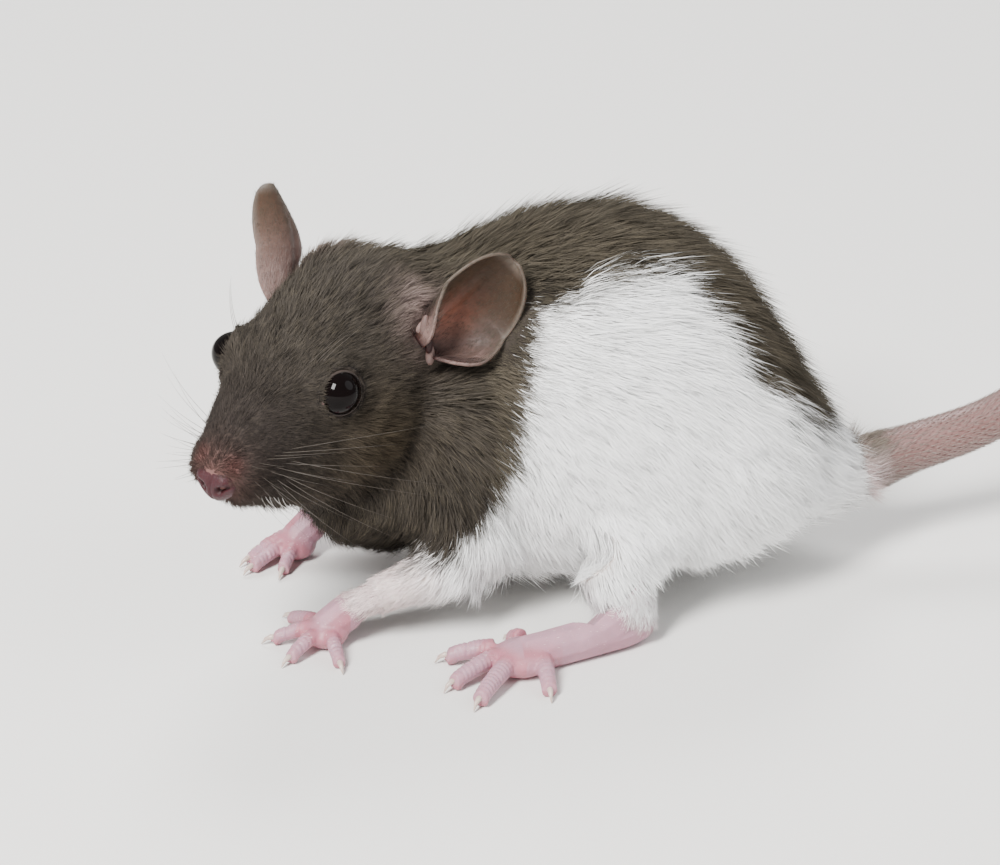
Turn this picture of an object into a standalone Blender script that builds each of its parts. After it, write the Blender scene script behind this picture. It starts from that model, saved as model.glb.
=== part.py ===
"""A young hooded pet rat, life size and still: it crouches on four feet and looks round to its left.

The rat faces -X, its left side faces -Y, and its feet rest on the floor at Z = 0. Sizes are written in
millimetres and turned into metres as each mass is made. The flesh is modelled as clay: lofts, balls and
tapered tubes that are fused and smoothed, then parted with thin cuts where a person would name a new part.
Its surface is the outside of the short coat.
"""

import math

import bmesh
import bpy
from mathutils import Matrix, Vector
from mathutils.bvhtree import BVHTree

MM = 0.001

# Driving sizes, in millimetres
GAP = 0.3  # left between touching nodes
BODY_VOXEL = 0.5  # fineness at which the masses of the body are fused
FOOT_VOXEL = 0.25
EAR_WALL = 0.8
BODY_TRIANGLES = 5000
KEEP_EVERYWHERE = 0.02  # how strongly the thinning spares the clay, and how much more it spares the face
KEEP_MOST = 0.025
HIND_FOOT_TRIANGLES = 760
FORE_FOOT_TRIANGLES = 620

# The two sides: the left of the rat is towards -Y
SIDES = {"left": -1.0, "right": 1.0}

# The trunk from the tail's root forwards: a section's centre, half width, reach above and reach below
TRUNK = [
    ((53.0, 0.0, 14.4), 4.2, 4.1, 4.1),
    ((49.0, 0.0, 15.2), 6.4, 5.4, 6.2),
    ((43.5, 0.0, 17.6), 12.0, 11.5, 9.5),
    ((36.0, 0.0, 20.8), 19.0, 21.0, 12.5),
    ((26.0, 0.0, 23.5), 22.5, 30.0, 16.0),
    ((13.0, 0.0, 24.5), 23.5, 35.0, 20.0),
    ((0.0, 0.5, 26.0), 20.5, 33.0, 22.5),
    ((-10.0, 1.5, 29.0), 16.5, 26.5, 24.0),
    ((-18.0, 2.5, 33.5), 14.0, 19.0, 22.5),
    ((-25.0, 2.0, 38.0), 12.0, 12.5, 16.0),
]

# The head's own frame: forward, left and up from the point midway between the eyes
HEAD_PLACE = (-37.6, -18.0, 44.1)
HEAD_YAW = 50.0  # degrees that it turns to its left
HEAD_PITCH = 5.0  # nose down
HEAD_ROLL = -5.5  # left side down
SKULL = [
    ((19.4, 0.0, -8.6), 1.5, 1.6, 1.6),
    ((17.8, 0.0, -8.4), 3.5, 3.8, 3.2),
    ((14.5, 0.0, -7.8), 5.4, 6.2, 5.4),
    ((10.5, 0.0, -7.2), 7.0, 8.4, 8.2),
    ((5.5, 0.0, -6.2), 8.8, 10.4, 12.6),
    ((0.0, 0.0, -5.4), 10.6, 12.4, 16.4),
    ((-7.0, 0.0, -5.0), 12.4, 14.2, 19.0),
    ((-14.0, 0.0, -4.6), 13.4, 15.0, 19.5),
    ((-21.0, 0.0, -4.0), 13.4, 13.6, 17.5),
    ((-27.0, 0.0, -3.5), 12.0, 12.0, 16.0),
]
EYE_RADIUS = 3.4
EYE_PLACE = (0.7, 9.0, 0.1)
EYE_LOOK = (0.40, 0.88, 0.26)
LID_RADIUS = 0.7
LID_PLACE = 1.1  # how far out along the look the lids' rim lies
LID_RIM = 3.35
HEAD_BACK = -24.0  # the head ends here, towards the neck
JAW_BELOW = -23.5
HEAD_HALF_WIDTH = 17.0
MOUTH = [(7.5, 6.6, -12.6), (11.5, 5.4, -13.2), (14.8, 3.6, -12.9), (17.0, 1.4, -11.8), (17.6, 0.0, -11.2)]
MOUTH_GROOVE = 0.45

# Ears: each stands and opens its own way, because the rat is listening
EAR_LENGTH = {"left": 18.0, "right": 18.3}
EAR_HALF_WIDTH = {"left": 6.9, "right": 7.2}
EAR_FOOT = {"left": (-17.7, 13.0, 2.6), "right": (-17.0, 11.8, 1.4)}
EAR_RISE = {"left": (-0.708, 0.568, 0.761), "right": (-0.358, 0.453, 0.876)}
EAR_OPEN = {"left": (0.775, 0.613, -0.10), "right": (0.418, 0.908, -0.05)}
EAR_FOOT_WRAP = {"left": 143.0, "right": 97.0}  # degrees that the cup wraps to each side at its foot
EAR_TIP_WRAP = {"left": 50.5, "right": 66.0}
EAR_FOOT_SHARE = 0.3  # the foot's width as a share of the widest part's
EAR_HOLLOW = 2.2  # how far the middle lies behind the margins
EAR_SWELL = 1.6  # how far the cup swells towards its rear margin

# Feet: each toe as its knuckle and its tip on the floor, and how thick it is at the root
HIND_FOOT = {
    "heel": (13.7, -24.9),
    "instep": (2.0, -29.8),
    "ball": (-5.2, -31.8),
    "toes": [
        ((-4.8, -26.6), (-7.0, -22.4), 1.25),
        ((-9.2, -29.4), (-18.0, -28.2), 1.45),
        ((-9.2, -32.0), (-17.8, -37.4), 1.45),
        ((-7.8, -34.4), (-14.2, -43.4), 1.45),
        ((-2.6, -34.2), (-2.7, -42.4), 1.35),
    ],
}
FORE_LEFT = {
    "wrist": (-28.6, -19.2),
    "ball": (-33.4, -19.6),
    "toes": [
        ((-34.6, -17.0), (-39.2, -10.9), 1.15),
        ((-35.8, -19.2), (-43.0, -18.8), 1.2),
        ((-35.4, -21.8), (-40.6, -26.6), 1.2),
        ((-32.8, -22.4), (-31.8, -29.8), 1.15),
    ],
}
FORE_RIGHT = {
    "wrist": (-31.0, 11.4),
    "ball": (-35.8, 9.8),
    "toes": [
        ((-36.2, 12.2), (-42.8, 10.6), 1.15),
        ((-38.0, 10.0), (-44.6, 6.6), 1.2),
        ((-37.8, 8.2), (-44.2, 3.6), 1.2),
        ((-36.2, 7.2), (-38.8, 1.4), 1.15),
    ],
}

FORE_FEET = {"left": FORE_LEFT, "right": FORE_RIGHT}

# The tail leaves the rump, arches and comes down to lie on the floor
TAIL = [
    (52.0, 0.0, 14.2),
    (60.0, 1.0, 16.2),
    (72.0, 3.0, 18.8),
    (84.0, 6.0, 22.4),
    (96.0, 9.5, 20.8),
    (108.0, 12.6, 14.2),
    (119.0, 14.6, 6.8),
    (130.0, 15.0, 2.3),
    (142.0, 13.4, 1.4),
    (153.0, 9.6, 1.0),
]
TAIL_RADIUS = 4.1
TAIL_TIP_RADIUS = 0.7
TAIL_LENGTHS = 4

FINISHES = {
    "hood_coat": ((0.16, 0.13, 0.10), 0.75),
    "white_coat": ((0.80, 0.78, 0.74), 0.75),
    "bare_skin": ((0.72, 0.42, 0.42), 0.50),
    "tail_skin": ((0.55, 0.36, 0.36), 0.55),
    "eye": ((0.01, 0.01, 0.01), 0.05),
}


def clear_scene():
    for obj in list(bpy.data.objects):
        bpy.data.objects.remove(obj, do_unlink=True)


def collection(name):
    made = bpy.data.collections.new(name)
    bpy.context.scene.collection.children.link(made)
    return made


def material(name, colour, roughness):
    made = bpy.data.materials.new(name)
    made.use_nodes = True
    shader = made.node_tree.nodes["Principled BSDF"]
    shader.inputs["Base Color"].default_value = (*colour, 1.0)
    shader.inputs["Roughness"].default_value = roughness
    shader.inputs["Metallic"].default_value = 0.0
    return made


def point(place):
    return Vector(place) * MM


def head_frame():
    """The head's frame as a matrix, in metres."""
    turn = Matrix.Rotation(math.pi + math.radians(HEAD_YAW), 4, "Z")
    turn = turn @ Matrix.Rotation(math.radians(HEAD_PITCH), 4, "Y")
    turn = turn @ Matrix.Rotation(math.radians(HEAD_ROLL), 4, "X")
    return Matrix.Translation(point(HEAD_PLACE)) @ turn


def mesh_object(name, shape, home):
    """A mesh object made from a bmesh, which it frees."""
    mesh = bpy.data.meshes.new(name)
    shape.to_mesh(mesh)
    shape.free()
    obj = bpy.data.objects.new(name, mesh)
    home.objects.link(obj)
    return obj


def settle(obj):
    """Turn an object's modifiers, or a curve, into a closed mesh of its own."""
    graph = bpy.context.evaluated_depsgraph_get()
    mesh = bpy.data.meshes.new_from_object(obj.evaluated_get(graph))
    if obj.type == "MESH":
        obj.modifiers.clear()
        obj.data = mesh
        return obj
    shape = bmesh.new()
    shape.from_mesh(mesh)
    bmesh.ops.remove_doubles(shape, verts=shape.verts, dist=0.00001)
    bmesh.ops.transform(shape, matrix=obj.matrix_world, verts=shape.verts)
    home = obj.users_collection[0]
    name = obj.name
    bpy.data.objects.remove(obj, do_unlink=True)
    return mesh_object(name, shape, home)


def ball(place, radii, home, frame=None, turn=0.0, fineness=3):
    """An ellipsoid at a place in a frame, turned about that frame's upright."""
    shape = bmesh.new()
    bmesh.ops.create_icosphere(shape, subdivisions=fineness, radius=1.0)
    into = Matrix.Translation(point(place)) @ Matrix.Rotation(math.radians(turn), 4, "Z")
    into = into @ Matrix.Diagonal((*[r * MM for r in radii], 1.0))
    if frame is not None:
        into = frame @ into
    bmesh.ops.transform(shape, matrix=into, verts=shape.verts)
    return mesh_object("ball", shape, home)


def block(low, high, home, frame=None):
    """A box between two corners of a frame."""
    shape = bmesh.new()
    bmesh.ops.create_cube(shape, size=1.0)
    middle = (point(low) + point(high)) / 2
    size = point(high) - point(low)
    into = Matrix.Translation(middle) @ Matrix.Diagonal((*size, 1.0))
    if frame is not None:
        into = frame @ into
    bmesh.ops.transform(shape, matrix=into, verts=shape.verts)
    return mesh_object("block", shape, home)


def tube(stations, home, frame=None, smooth=True, sides=3):
    """A tapered tube through stations, each a place and a radius."""
    curve = bpy.data.curves.new("tube", "CURVE")
    curve.dimensions = "3D"
    curve.bevel_depth = MM
    curve.bevel_resolution = sides
    curve.use_fill_caps = True
    spline = curve.splines.new("NURBS" if smooth else "POLY")
    spline.points.add(len(stations) - 1)
    for knot, (place, radius) in zip(spline.points, stations):
        knot.co = (*point(place), 1.0)
        knot.radius = radius
    if smooth:
        spline.order_u = 3
        spline.use_endpoint_u = True
        spline.resolution_u = 8
    obj = bpy.data.objects.new("tube", curve)
    if frame is not None:
        obj.matrix_world = frame
    home.objects.link(obj)
    bpy.context.view_layer.update()
    return settle(obj)


def spline(values, share):
    """A smooth curve through a list of values, at a share of its way from the first to the last."""
    spans = len(values) - 1
    along = min(share * spans, spans - 1e-6)
    i = int(along)
    t = along - i
    a, b, c, d = (values[min(max(k, 0), spans)] for k in (i - 1, i, i + 1, i + 2))
    return 0.5 * (2 * b + (c - a) * t + (2 * a - 5 * b + 4 * c - d) * t**2 + (3 * b - a - 3 * c + d) * t**3)


def loft(masters, home, frame=None, sides=32, steps=4):
    """A closed body through upright oval sections, each square to the way that the body runs there."""
    shape = bmesh.new()
    columns = [[Vector(m[0]) for m in masters]] + [[m[k] for m in masters] for k in (1, 2, 3)]
    count = (len(masters) - 1) * steps
    sections = [[spline(column, k / count) for column in columns] for k in range(count + 1)]
    centres = [section[0] for section in sections]
    rings = []
    for i, (centre, half_width, above, below) in enumerate(sections):
        run = centres[min(i + 1, len(centres) - 1)] - centres[max(i - 1, 0)]
        across = Vector((-run.y, run.x, 0.0)).normalized()
        ring = []
        for k in range(sides):
            angle = 2 * math.pi * k / sides
            rise = math.sin(angle)
            reach = above if rise > 0 else below
            spot = centres[i] + across * (half_width * math.cos(angle)) + Vector((0, 0, reach * rise))
            ring.append(shape.verts.new(spot * MM))
        rings.append(ring)
    for near, far in zip(rings, rings[1:]):
        for k in range(sides):
            shape.faces.new((near[k], near[(k + 1) % sides], far[(k + 1) % sides], far[k]))
    shape.faces.new(rings[0])
    shape.faces.new(rings[-1])
    bmesh.ops.recalc_face_normals(shape, faces=shape.faces)
    if frame is not None:
        bmesh.ops.transform(shape, matrix=frame, verts=shape.verts)
    return mesh_object("loft", shape, home)


def keep_largest(obj):
    """Keep only the largest closed surface of a mesh."""
    shape = bmesh.new()
    shape.from_mesh(obj.data)
    bmesh.ops.remove_doubles(shape, verts=shape.verts, dist=0.000002)
    left = set(shape.verts)
    best = []
    while left:
        island = [left.pop()]
        for vert in island:
            for edge in vert.link_edges:
                other = edge.other_vert(vert)
                if other in left:
                    left.remove(other)
                    island.append(other)
        if len(island) > len(best):
            best = island
    kept = set(best)
    bmesh.ops.delete(shape, geom=[v for v in shape.verts if v not in kept], context="VERTS")
    shape.to_mesh(obj.data)
    shape.free()


def fuse(name, masses, voxel, home):
    """One closed body from overlapping masses."""
    shape = bmesh.new()
    for mass in masses:
        shape.from_mesh(mass.data)
        bpy.data.objects.remove(mass, do_unlink=True)
    clay = mesh_object(name, shape, home)
    remesh = clay.modifiers.new("Fuse", "REMESH")
    remesh.mode = "VOXEL"
    remesh.voxel_size = voxel * MM
    settle(clay)
    keep_largest(clay)
    return clay


def weigh(obj, name, weight_at):
    """A vertex group whose weight is a function of the point, in millimetres."""
    group = obj.vertex_groups.new(name=name)
    for vert in obj.data.vertices:
        weight = weight_at(vert.co / MM)
        if weight > 0.0:
            group.add([vert.index], weight, "REPLACE")
    return group


def soften(obj, weight_at, passes):
    weigh(obj, "soft", weight_at)
    smooth = obj.modifiers.new("Soften", "SMOOTH")
    smooth.factor = 0.5
    smooth.iterations = passes
    smooth.vertex_group = "soft"
    settle(obj)


def thin_out(obj, triangles, keep_at=None):
    """Fewer faces, spent where the form is fine."""
    obj.data.calc_loop_triangles()
    ratio = triangles / len(obj.data.loop_triangles)
    decimate = obj.modifiers.new("Thin", "DECIMATE")
    decimate.ratio = ratio
    if keep_at is not None:
        weigh(obj, "keep", lambda spot: KEEP_EVERYWHERE + KEEP_MOST * keep_at(spot))
        decimate.vertex_group = "keep"
        decimate.invert_vertex_group = True
        decimate.vertex_group_factor = 0.05
    settle(obj)
    keep_largest(obj)


def cut(obj, cutter, operation, solver="EXACT"):
    """Apply one Boolean and remove what it cut with."""
    boolean = obj.modifiers.new("Cut", "BOOLEAN")
    boolean.operation = operation
    boolean.solver = solver
    boolean.object = cutter
    settle(obj)
    bpy.data.objects.remove(cutter, do_unlink=True)


def copy_of(obj, name):
    made = bpy.data.objects.new(name, obj.data.copy())
    obj.users_collection[0].objects.link(made)
    return made


def part_off(rest, name, region):
    """Take a node off the rest with a thin cut; region makes the cutter, grown by a given distance."""
    node = copy_of(rest, name)
    cut(node, region(0.0), "INTERSECT")
    keep_largest(node)
    cut(rest, region(GAP), "DIFFERENCE")
    keep_largest(rest)
    return node


def side_of(place, side):
    """A place given for the left side, on either side of the trunk."""
    return (place[0], -place[1] * SIDES[side], place[2])


def middle_of(a, b, share=0.5):
    return tuple(p + (q - p) * share for p, q in zip(a, b))


# Places and sizes of the limbs, given for the left side
HAUNCH = ((23.5, -12.0, 24.0), (17.0, 11.5, 17.5))
THIGH_TOP = (19.0, -14.0, 20.0)
KNEE = (8.0, -21.0, 13.0)
ANKLE = (13.6, -24.2, 5.8)
SHOULDER = ((-12.0, -12.0, 26.0), (12.0, 8.5, 15.0))
UPPER_ARM_TOP = (-15.0, -13.0, 24.0)
UPPER_ARM = ((-11.0, -14.0, 21.5), (11.0, 9.0, 15.5))
THIGH = ((18.5, -17.0, 20.0), (23.5, 14.0, 17.0))
THIGH_LEAN = 28.0
NECK = ((-23.0, -3.0, 42.0), (15.5, 21.0, 20.0))
ARMS = {
    "left": {"elbow": (-9.5, -17.5, 12.5), "wrist": (-28.4, -19.3, 6.4)},
    "right": {"elbow": (-13.5, 15.0, 13.0), "wrist": (-31.0, 11.4, 6.6)},
}


def body_clay(home):
    """Trunk, neck, head and limbs down to the wrists and ankles, as one body."""
    head = head_frame()
    masses = [loft(TRUNK, home), loft(SKULL, home, head)]
    neck = [((-14.0, 3.0, 37.0), 14.5), ((-20.0, 1.5, 41.0), 13.5), ((-26.0, -4.0, 42.0), 13.5)]
    masses.append(tube(neck, home))
    masses.append(ball((-22.5, -4.0, 22.5), (14.0, 14.5, 14.0), home))
    masses.append(ball((-28.0, -8.0, 31.0), (10.0, 12.0, 10.5), home))
    masses.append(ball((2.0, -2.0, 17.0), (26.0, 16.0, 14.0), home))
    for side in SIDES:
        masses.append(ball(side_of(HAUNCH[0], side), HAUNCH[1], home))
        masses.append(ball(side_of(SHOULDER[0], side), SHOULDER[1], home))
        knee = side_of(KNEE, side)
        ankle = side_of(ANKLE, side)
        hip = side_of(THIGH_TOP, side)
        masses.append(tube([(hip, 8.0), (middle_of(hip, knee), 8.5), (knee, 7.5)], home))
        masses.append(tube([(knee, 7.5), (middle_of(knee, ankle), 6.0), (ankle, 4.0)], home))
        elbow = ARMS[side]["elbow"]
        wrist = ARMS[side]["wrist"]
        masses.append(tube([(side_of(UPPER_ARM_TOP, side), 9.0), (elbow, 6.0)], home, smooth=False))
        masses.append(ball(elbow, (5.8, 5.4, 5.4), home))
        masses.append(tube([(elbow, 5.4), (middle_of(elbow, wrist), 4.4), (wrist, 3.1)], home))
    masses += face_masses(home, head)
    return fuse("torso", masses, BODY_VOXEL, home)


def lid_ring(sign, home):
    bpy.ops.mesh.primitive_torus_add(
        major_radius=LID_RIM * MM, minor_radius=LID_RADIUS * MM, major_segments=32, minor_segments=10
    )
    ring = bpy.context.object
    ring.data.transform(eye_frame(sign) @ Matrix.Translation((0.0, 0.0, LID_PLACE * MM)))
    for owner in list(ring.users_collection):
        owner.objects.unlink(ring)
    home.objects.link(ring)
    return ring


def face_masses(home, head):
    """Cheeks, whisker pads, chin, eyes and lids, in the head's frame."""
    masses = [ball((10.8, 0.0, -13.6), (6.5, 4.4, 3.2), home, head)]
    for sign in (1.0, -1.0):
        masses.append(ball((13.2, sign * 3.1, -8.8), (5.4, 3.5, 4.4), home, head))
        masses.append(ball((-8.0, sign * 7.6, -8.5), (11.0, 6.8, 9.5), home, head))
        masses.append(ball((0.0, 0.0, 0.0), (EYE_RADIUS, EYE_RADIUS, EYE_RADIUS), home, eye_frame(sign)))
        masses.append(lid_ring(sign, home))
        masses.append(ball((-1.4, sign * 6.0, 0.6), (7.0, 4.4, 5.0), home, head))
    return masses


def eye_place(sign):
    return Vector((EYE_PLACE[0], sign * EYE_PLACE[1], EYE_PLACE[2]))


def eye_frame(sign):
    """An eye's frame, in metres: Z along its look."""
    look = Vector((EYE_LOOK[0], sign * EYE_LOOK[1], EYE_LOOK[2])).normalized()
    turn = look.to_track_quat("Z", "Y").to_matrix().to_4x4()
    return head_frame() @ Matrix.Translation(eye_place(sign) * MM) @ turn


def softness(spot):
    """How strongly the clay is smoothed: wholly on the trunk, least on the face."""
    away = (head_frame().inverted() @ (spot * MM)) / MM
    face = min(max((away.x + 14.0) / 14.0, 0.0), 1.0)
    limb = min(max((9.0 - spot.z) / 6.0, 0.0), 1.0)
    return 1.0 - 0.86 * max(face, limb)


def fineness(spot):
    """Where the triangles go: the face first, then the limbs."""
    away = (head_frame().inverted() @ (spot * MM)) / MM
    face = min(max((away.x + 16.0) / 14.0, 0.0), 1.0)
    limb = min(max((12.0 - spot.z) / 8.0, 0.0), 1.0)
    return max(face, 0.45 * limb)


def ear(side, sign, home):
    """A pinna: rows of arcs that are nearly a tube at the foot and open to a shallow cup at the tip."""
    rows = 11
    columns = 11
    rise = Vector(EAR_RISE[side])
    rise = Vector((rise.x, sign * rise.y, rise.z)).normalized()
    face = Vector(EAR_OPEN[side])
    face = Vector((face.x, sign * face.y, face.z))
    face = (face - rise * face.dot(rise)).normalized()
    rear = rise.cross(face) * sign
    foot = Vector(EAR_FOOT[side])
    foot.y *= sign
    shape = bmesh.new()
    grid = []
    for i in range(rows):
        along = i / (rows - 1)
        opened = min(along / 0.5, 1.0)
        rounding = math.sqrt(max(1.0 - max((along - 0.5) / 0.507, 0.0) ** 2, 0.0))
        share = EAR_FOOT_SHARE + (1.0 - EAR_FOOT_SHARE) * math.sin(math.pi / 2 * opened)
        width = EAR_HALF_WIDTH[side] * share * rounding
        wrap = math.radians(EAR_FOOT_WRAP[side] + (EAR_TIP_WRAP[side] - EAR_FOOT_WRAP[side]) * opened)
        bow = width / (math.sin(wrap) if wrap < math.pi / 2 else 1.0)
        swell = rear * (EAR_SWELL * math.sin(math.pi * along**0.8))
        middle = foot + rise * (EAR_LENGTH[side] * along - 2.0) + swell
        row = []
        for k in range(columns):
            angle = wrap * (2 * k / (columns - 1) - 1)
            hollow = bow * (1 - math.cos(angle)) - EAR_HOLLOW * math.sin(math.pi * along)
            spot = middle + rear * (bow * math.sin(angle)) + face * hollow
            row.append(shape.verts.new(spot * MM))
        grid.append(row)
    for low, high in zip(grid, grid[1:]):
        for k in range(columns - 1):
            shape.faces.new((low[k], low[k + 1], high[k + 1], high[k]))
    bmesh.ops.transform(shape, matrix=head_frame(), verts=shape.verts)
    bmesh.ops.recalc_face_normals(shape, faces=shape.faces)
    obj = mesh_object(f"ear_{side}", shape, home)
    wall = obj.modifiers.new("Wall", "SOLIDIFY")
    wall.thickness = EAR_WALL * MM
    wall.offset = 0.0
    settle(obj)
    return obj


def toe(knuckle, tip, radius, home):
    """One toe, arched from its knuckle to the pad behind its claw, and the claw."""
    start = Vector((*knuckle, 2.3 + 0.3 * radius))
    end = Vector((*tip, 0.0))
    reach = end - Vector((*knuckle, 0.0))
    claw_root = Vector((*knuckle, 0.0)) + reach * (1.0 - 2.2 / reach.length)
    joint = Vector((*knuckle, 0.0)) + reach * 0.45
    made = tube(
        [
            (start, radius * 1.05),
            (joint + Vector((0, 0, radius * 1.75)), radius * 1.0),
            (claw_root + Vector((0, 0, radius * 0.95)), radius * 0.86),
        ],
        home,
    )
    pad_radii = (radius * 0.95, radius * 0.95, radius * 0.85)
    pad = ball(claw_root + Vector((0, 0, radius * 0.8)), pad_radii, home, fineness=2)
    claw = tube(
        [
            (claw_root + Vector((0, 0, radius * 1.05)), 0.62),
            (claw_root + reach.normalized() * 1.3 + Vector((0, 0, radius * 1.0)), 0.5),
            (end + Vector((0, 0, 0.42)), 0.3),
        ],
        home,
    )
    return [made, pad, claw]


def on_floor(obj, home):
    """Flatten what reaches below the floor."""
    cut(obj, block((-120.0, -120.0, -20.0), (260.0, 120.0, 0.0), home), "DIFFERENCE")
    keep_largest(obj)


def hind_foot(name, plan, ankle, knee, sign, home):
    """A long bare hind foot, flat on the floor from heel to toes."""
    def there(spot):
        return (spot[0], sign * spot[1])
    heel = there(plan["heel"])
    instep = there(plan["instep"])
    sole = there(plan["ball"])
    masses = [tube([(middle_of(ankle, knee, 0.5), 5.8), (ankle, 4.3), ((*heel, 3.2), 3.6)], home)]
    masses.append(ball((*heel, 3.2), (3.7, 3.3, 3.3), home))
    bridge = (*middle_of(heel, instep, 0.35), 3.8)
    masses.append(tube([(middle_of(ankle, knee, 0.1), 3.8), (bridge, 3.5), ((*instep, 2.7), 2.8)], home))
    masses.append(tube([((*heel, 3.0), 3.3), ((*instep, 2.7), 2.9), ((*sole, 2.4), 3.0)], home))
    heading = math.degrees(math.atan2(sole[1] - heel[1], sole[0] - heel[0]))
    masses.append(ball((*sole, 2.2), (5.4, 4.6, 2.5), home, turn=heading))
    for knuckle, tip, radius in plan["toes"]:
        masses += toe(there(knuckle), there(tip), radius, home)
    foot = fuse(name, masses, FOOT_VOXEL, home)
    soften(foot, lambda p: 1.0, 3)
    thin_out(foot, HIND_FOOT_TRIANGLES)
    on_floor(foot, home)
    return foot


def fore_foot(name, plan, wrist, elbow, home):
    """A small bare fore foot with four spread toes and the stub of a thumb."""
    palm = plan["ball"]
    masses = [tube([(middle_of(wrist, elbow, 0.3), 3.7), (wrist, 3.0), ((*palm, 2.7), 2.6)], home)]
    heading = math.degrees(math.atan2(palm[1] - wrist[1], palm[0] - wrist[0]))
    masses.append(ball((*palm, 2.1), (3.6, 3.9, 2.3), home, turn=heading))
    for knuckle, tip, radius in plan["toes"]:
        masses += toe(knuckle, tip, radius, home)
    foot = fuse(name, masses, FOOT_VOXEL, home)
    soften(foot, lambda p: 1.0, 3)
    thin_out(foot, FORE_FOOT_TRIANGLES)
    on_floor(foot, home)
    return foot


def tail_line(share):
    """A point of the tail's middle line, by its share of the way to the tip."""
    return spline([Vector(place) for place in TAIL], share)


def tail_pieces(home):
    """The tail in a few lengths, each a tapered tube that ends just short of the next."""
    pieces = []
    steps = 9
    whole = sum((tail_line((k + 1) / 200) - tail_line(k / 200)).length for k in range(200))
    trim = GAP / 2 / whole
    for n in range(TAIL_LENGTHS):
        start = n / TAIL_LENGTHS + trim
        end = (n + 1) / TAIL_LENGTHS - trim
        stations = []
        for k in range(steps + 1):
            share = start + (end - start) * k / steps
            radius = TAIL_TIP_RADIUS + (TAIL_RADIUS - TAIL_TIP_RADIUS) * (1 - share) ** 0.8
            stations.append((tail_line(share), radius))
        piece = tube(stations, home, smooth=False, sides=2)
        piece.name = f"tail_{n + 1}"
        on_floor(piece, home)
        pieces.append(piece)
    return pieces


def nostril(sign, head, home):
    """A comma-shaped pit at one side of the nose's tip."""
    inner = ((18.9, sign * 0.9, -8.9), 0.45)
    middle = ((18.3, sign * 1.9, -8.3), 0.6)
    outer = ((17.0, sign * 2.5, -7.2), 0.35)
    return tube([inner, middle, outer], home, head)


def mouth_line(skin, head, home):
    """A groove cutter along the lips, which lies on the skin from one corner of the mouth to the other."""
    tree = BVHTree.FromObject(skin, bpy.context.evaluated_depsgraph_get())
    stations = []
    for place in MOUTH + [(x, -y, z) for x, y, z in reversed(MOUTH[:-1])]:
        spot = tree.find_nearest(head @ point(place))[0]
        stations.append((spot / MM, MOUTH_GROOVE))
    return tube(stations, home)


def grown(obj, distance, home):
    """A copy of a body with its skin moved out."""
    made = bpy.data.objects.new("grown", obj.data.copy())
    home.objects.link(made)
    move = made.modifiers.new("Grow", "DISPLACE")
    move.strength = distance * MM
    move.mid_level = 0.0
    settle(made)
    return made


def limb_frame(joint, towards):
    """A frame at a joint, in metres, with Z along the limb."""
    along = (Vector(towards) - Vector(joint)).normalized()
    return Matrix.Translation(point(joint)) @ along.to_track_quat("Z", "Y").to_matrix().to_4x4()


def square_off(limb, end, joint, towards, home):
    """Cut a limb and the piece that goes on from it square across, half the gap to each side of a joint."""
    frame = limb_frame(joint, towards)
    reach = 9.0
    depth = 14.0
    cut(limb, block((-reach, -reach, -GAP / 2), (reach, reach, depth), home, frame), "DIFFERENCE")
    cut(end, block((-reach, -reach, -depth), (reach, reach, GAP / 2), home, frame), "DIFFERENCE")
    keep_largest(limb)
    keep_largest(end)


def part_limbs(body, home):
    """Part the forearms, upper arms, shanks and thighs off the body."""
    nodes = {}
    for side in SIDES:
        elbow = Vector(ARMS[side]["elbow"])
        wrist = Vector(ARMS[side]["wrist"])
        along = (wrist - elbow).normalized()
        knee = Vector(side_of(KNEE, side))
        ankle = Vector(side_of(ANKLE, side))
        down = (ankle - knee).normalized()

        def forearm(more):
            sleeve = [(elbow + along * (2.0 - more), 6.6 + more), (wrist + along * 8.0, 5.0 + more)]
            return tube(sleeve, home, smooth=False)

        def upper_arm(more):
            return ball(side_of(UPPER_ARM[0], side), [r + more for r in UPPER_ARM[1]], home)

        def shank(more):
            sleeve = [(knee + down * (2.5 - more), 8.0 + more), (ankle + down * 6.0, 6.5 + more)]
            return tube(sleeve, home, smooth=False)

        def thigh(more):
            lean = Matrix.Rotation(math.radians(-THIGH_LEAN), 4, "Y")
            there = Matrix.Translation(point(side_of(THIGH[0], side))) @ lean
            return ball((0.0, 0.0, 0.0), [r + more for r in THIGH[1]], home, there)

        for region in (forearm, upper_arm, shank, thigh):
            name = f"{region.__name__}_{side}"
            nodes[name] = part_off(body, name, region)
    return nodes


def part_head(body, home):
    """Part the head and the neck off the body."""
    head = head_frame()

    def skull(more):
        half_width = HEAD_HALF_WIDTH + more
        return block((HEAD_BACK - more, -half_width, JAW_BELOW - more), (60.0, half_width, 50.0), home, head)

    def neck(more):
        return ball(NECK[0], [r + more for r in NECK[1]], home, fineness=3)

    return {"head": part_off(body, "head", skull), "neck": part_off(body, "neck", neck)}


def finish_face(skull, home):
    """Eye sockets, nostrils and the line of the mouth, cut into the head."""
    head = head_frame()
    groove = mouth_line(skull, head, home)
    cut(skull, groove, "DIFFERENCE")
    for sign in (1.0, -1.0):
        socket = (EYE_RADIUS + GAP,) * 3
        cut(skull, ball((0.0, 0.0, 0.0), socket, home, eye_frame(sign)), "DIFFERENCE")
        cut(skull, nostril(sign, head, home), "DIFFERENCE")
    keep_largest(skull)


def to_origin(nodes):
    """Move everything so that the middle of the whole animal's box, at floor level, is the origin."""
    spots = [vert.co for node in nodes for vert in node.data.vertices]
    middle_x = (min(s.x for s in spots) + max(s.x for s in spots)) / 2
    middle_y = (min(s.y for s in spots) + max(s.y for s in spots)) / 2
    for node in nodes:
        node.data.transform(Matrix.Translation((-middle_x, -middle_y, 0.0)))


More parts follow.
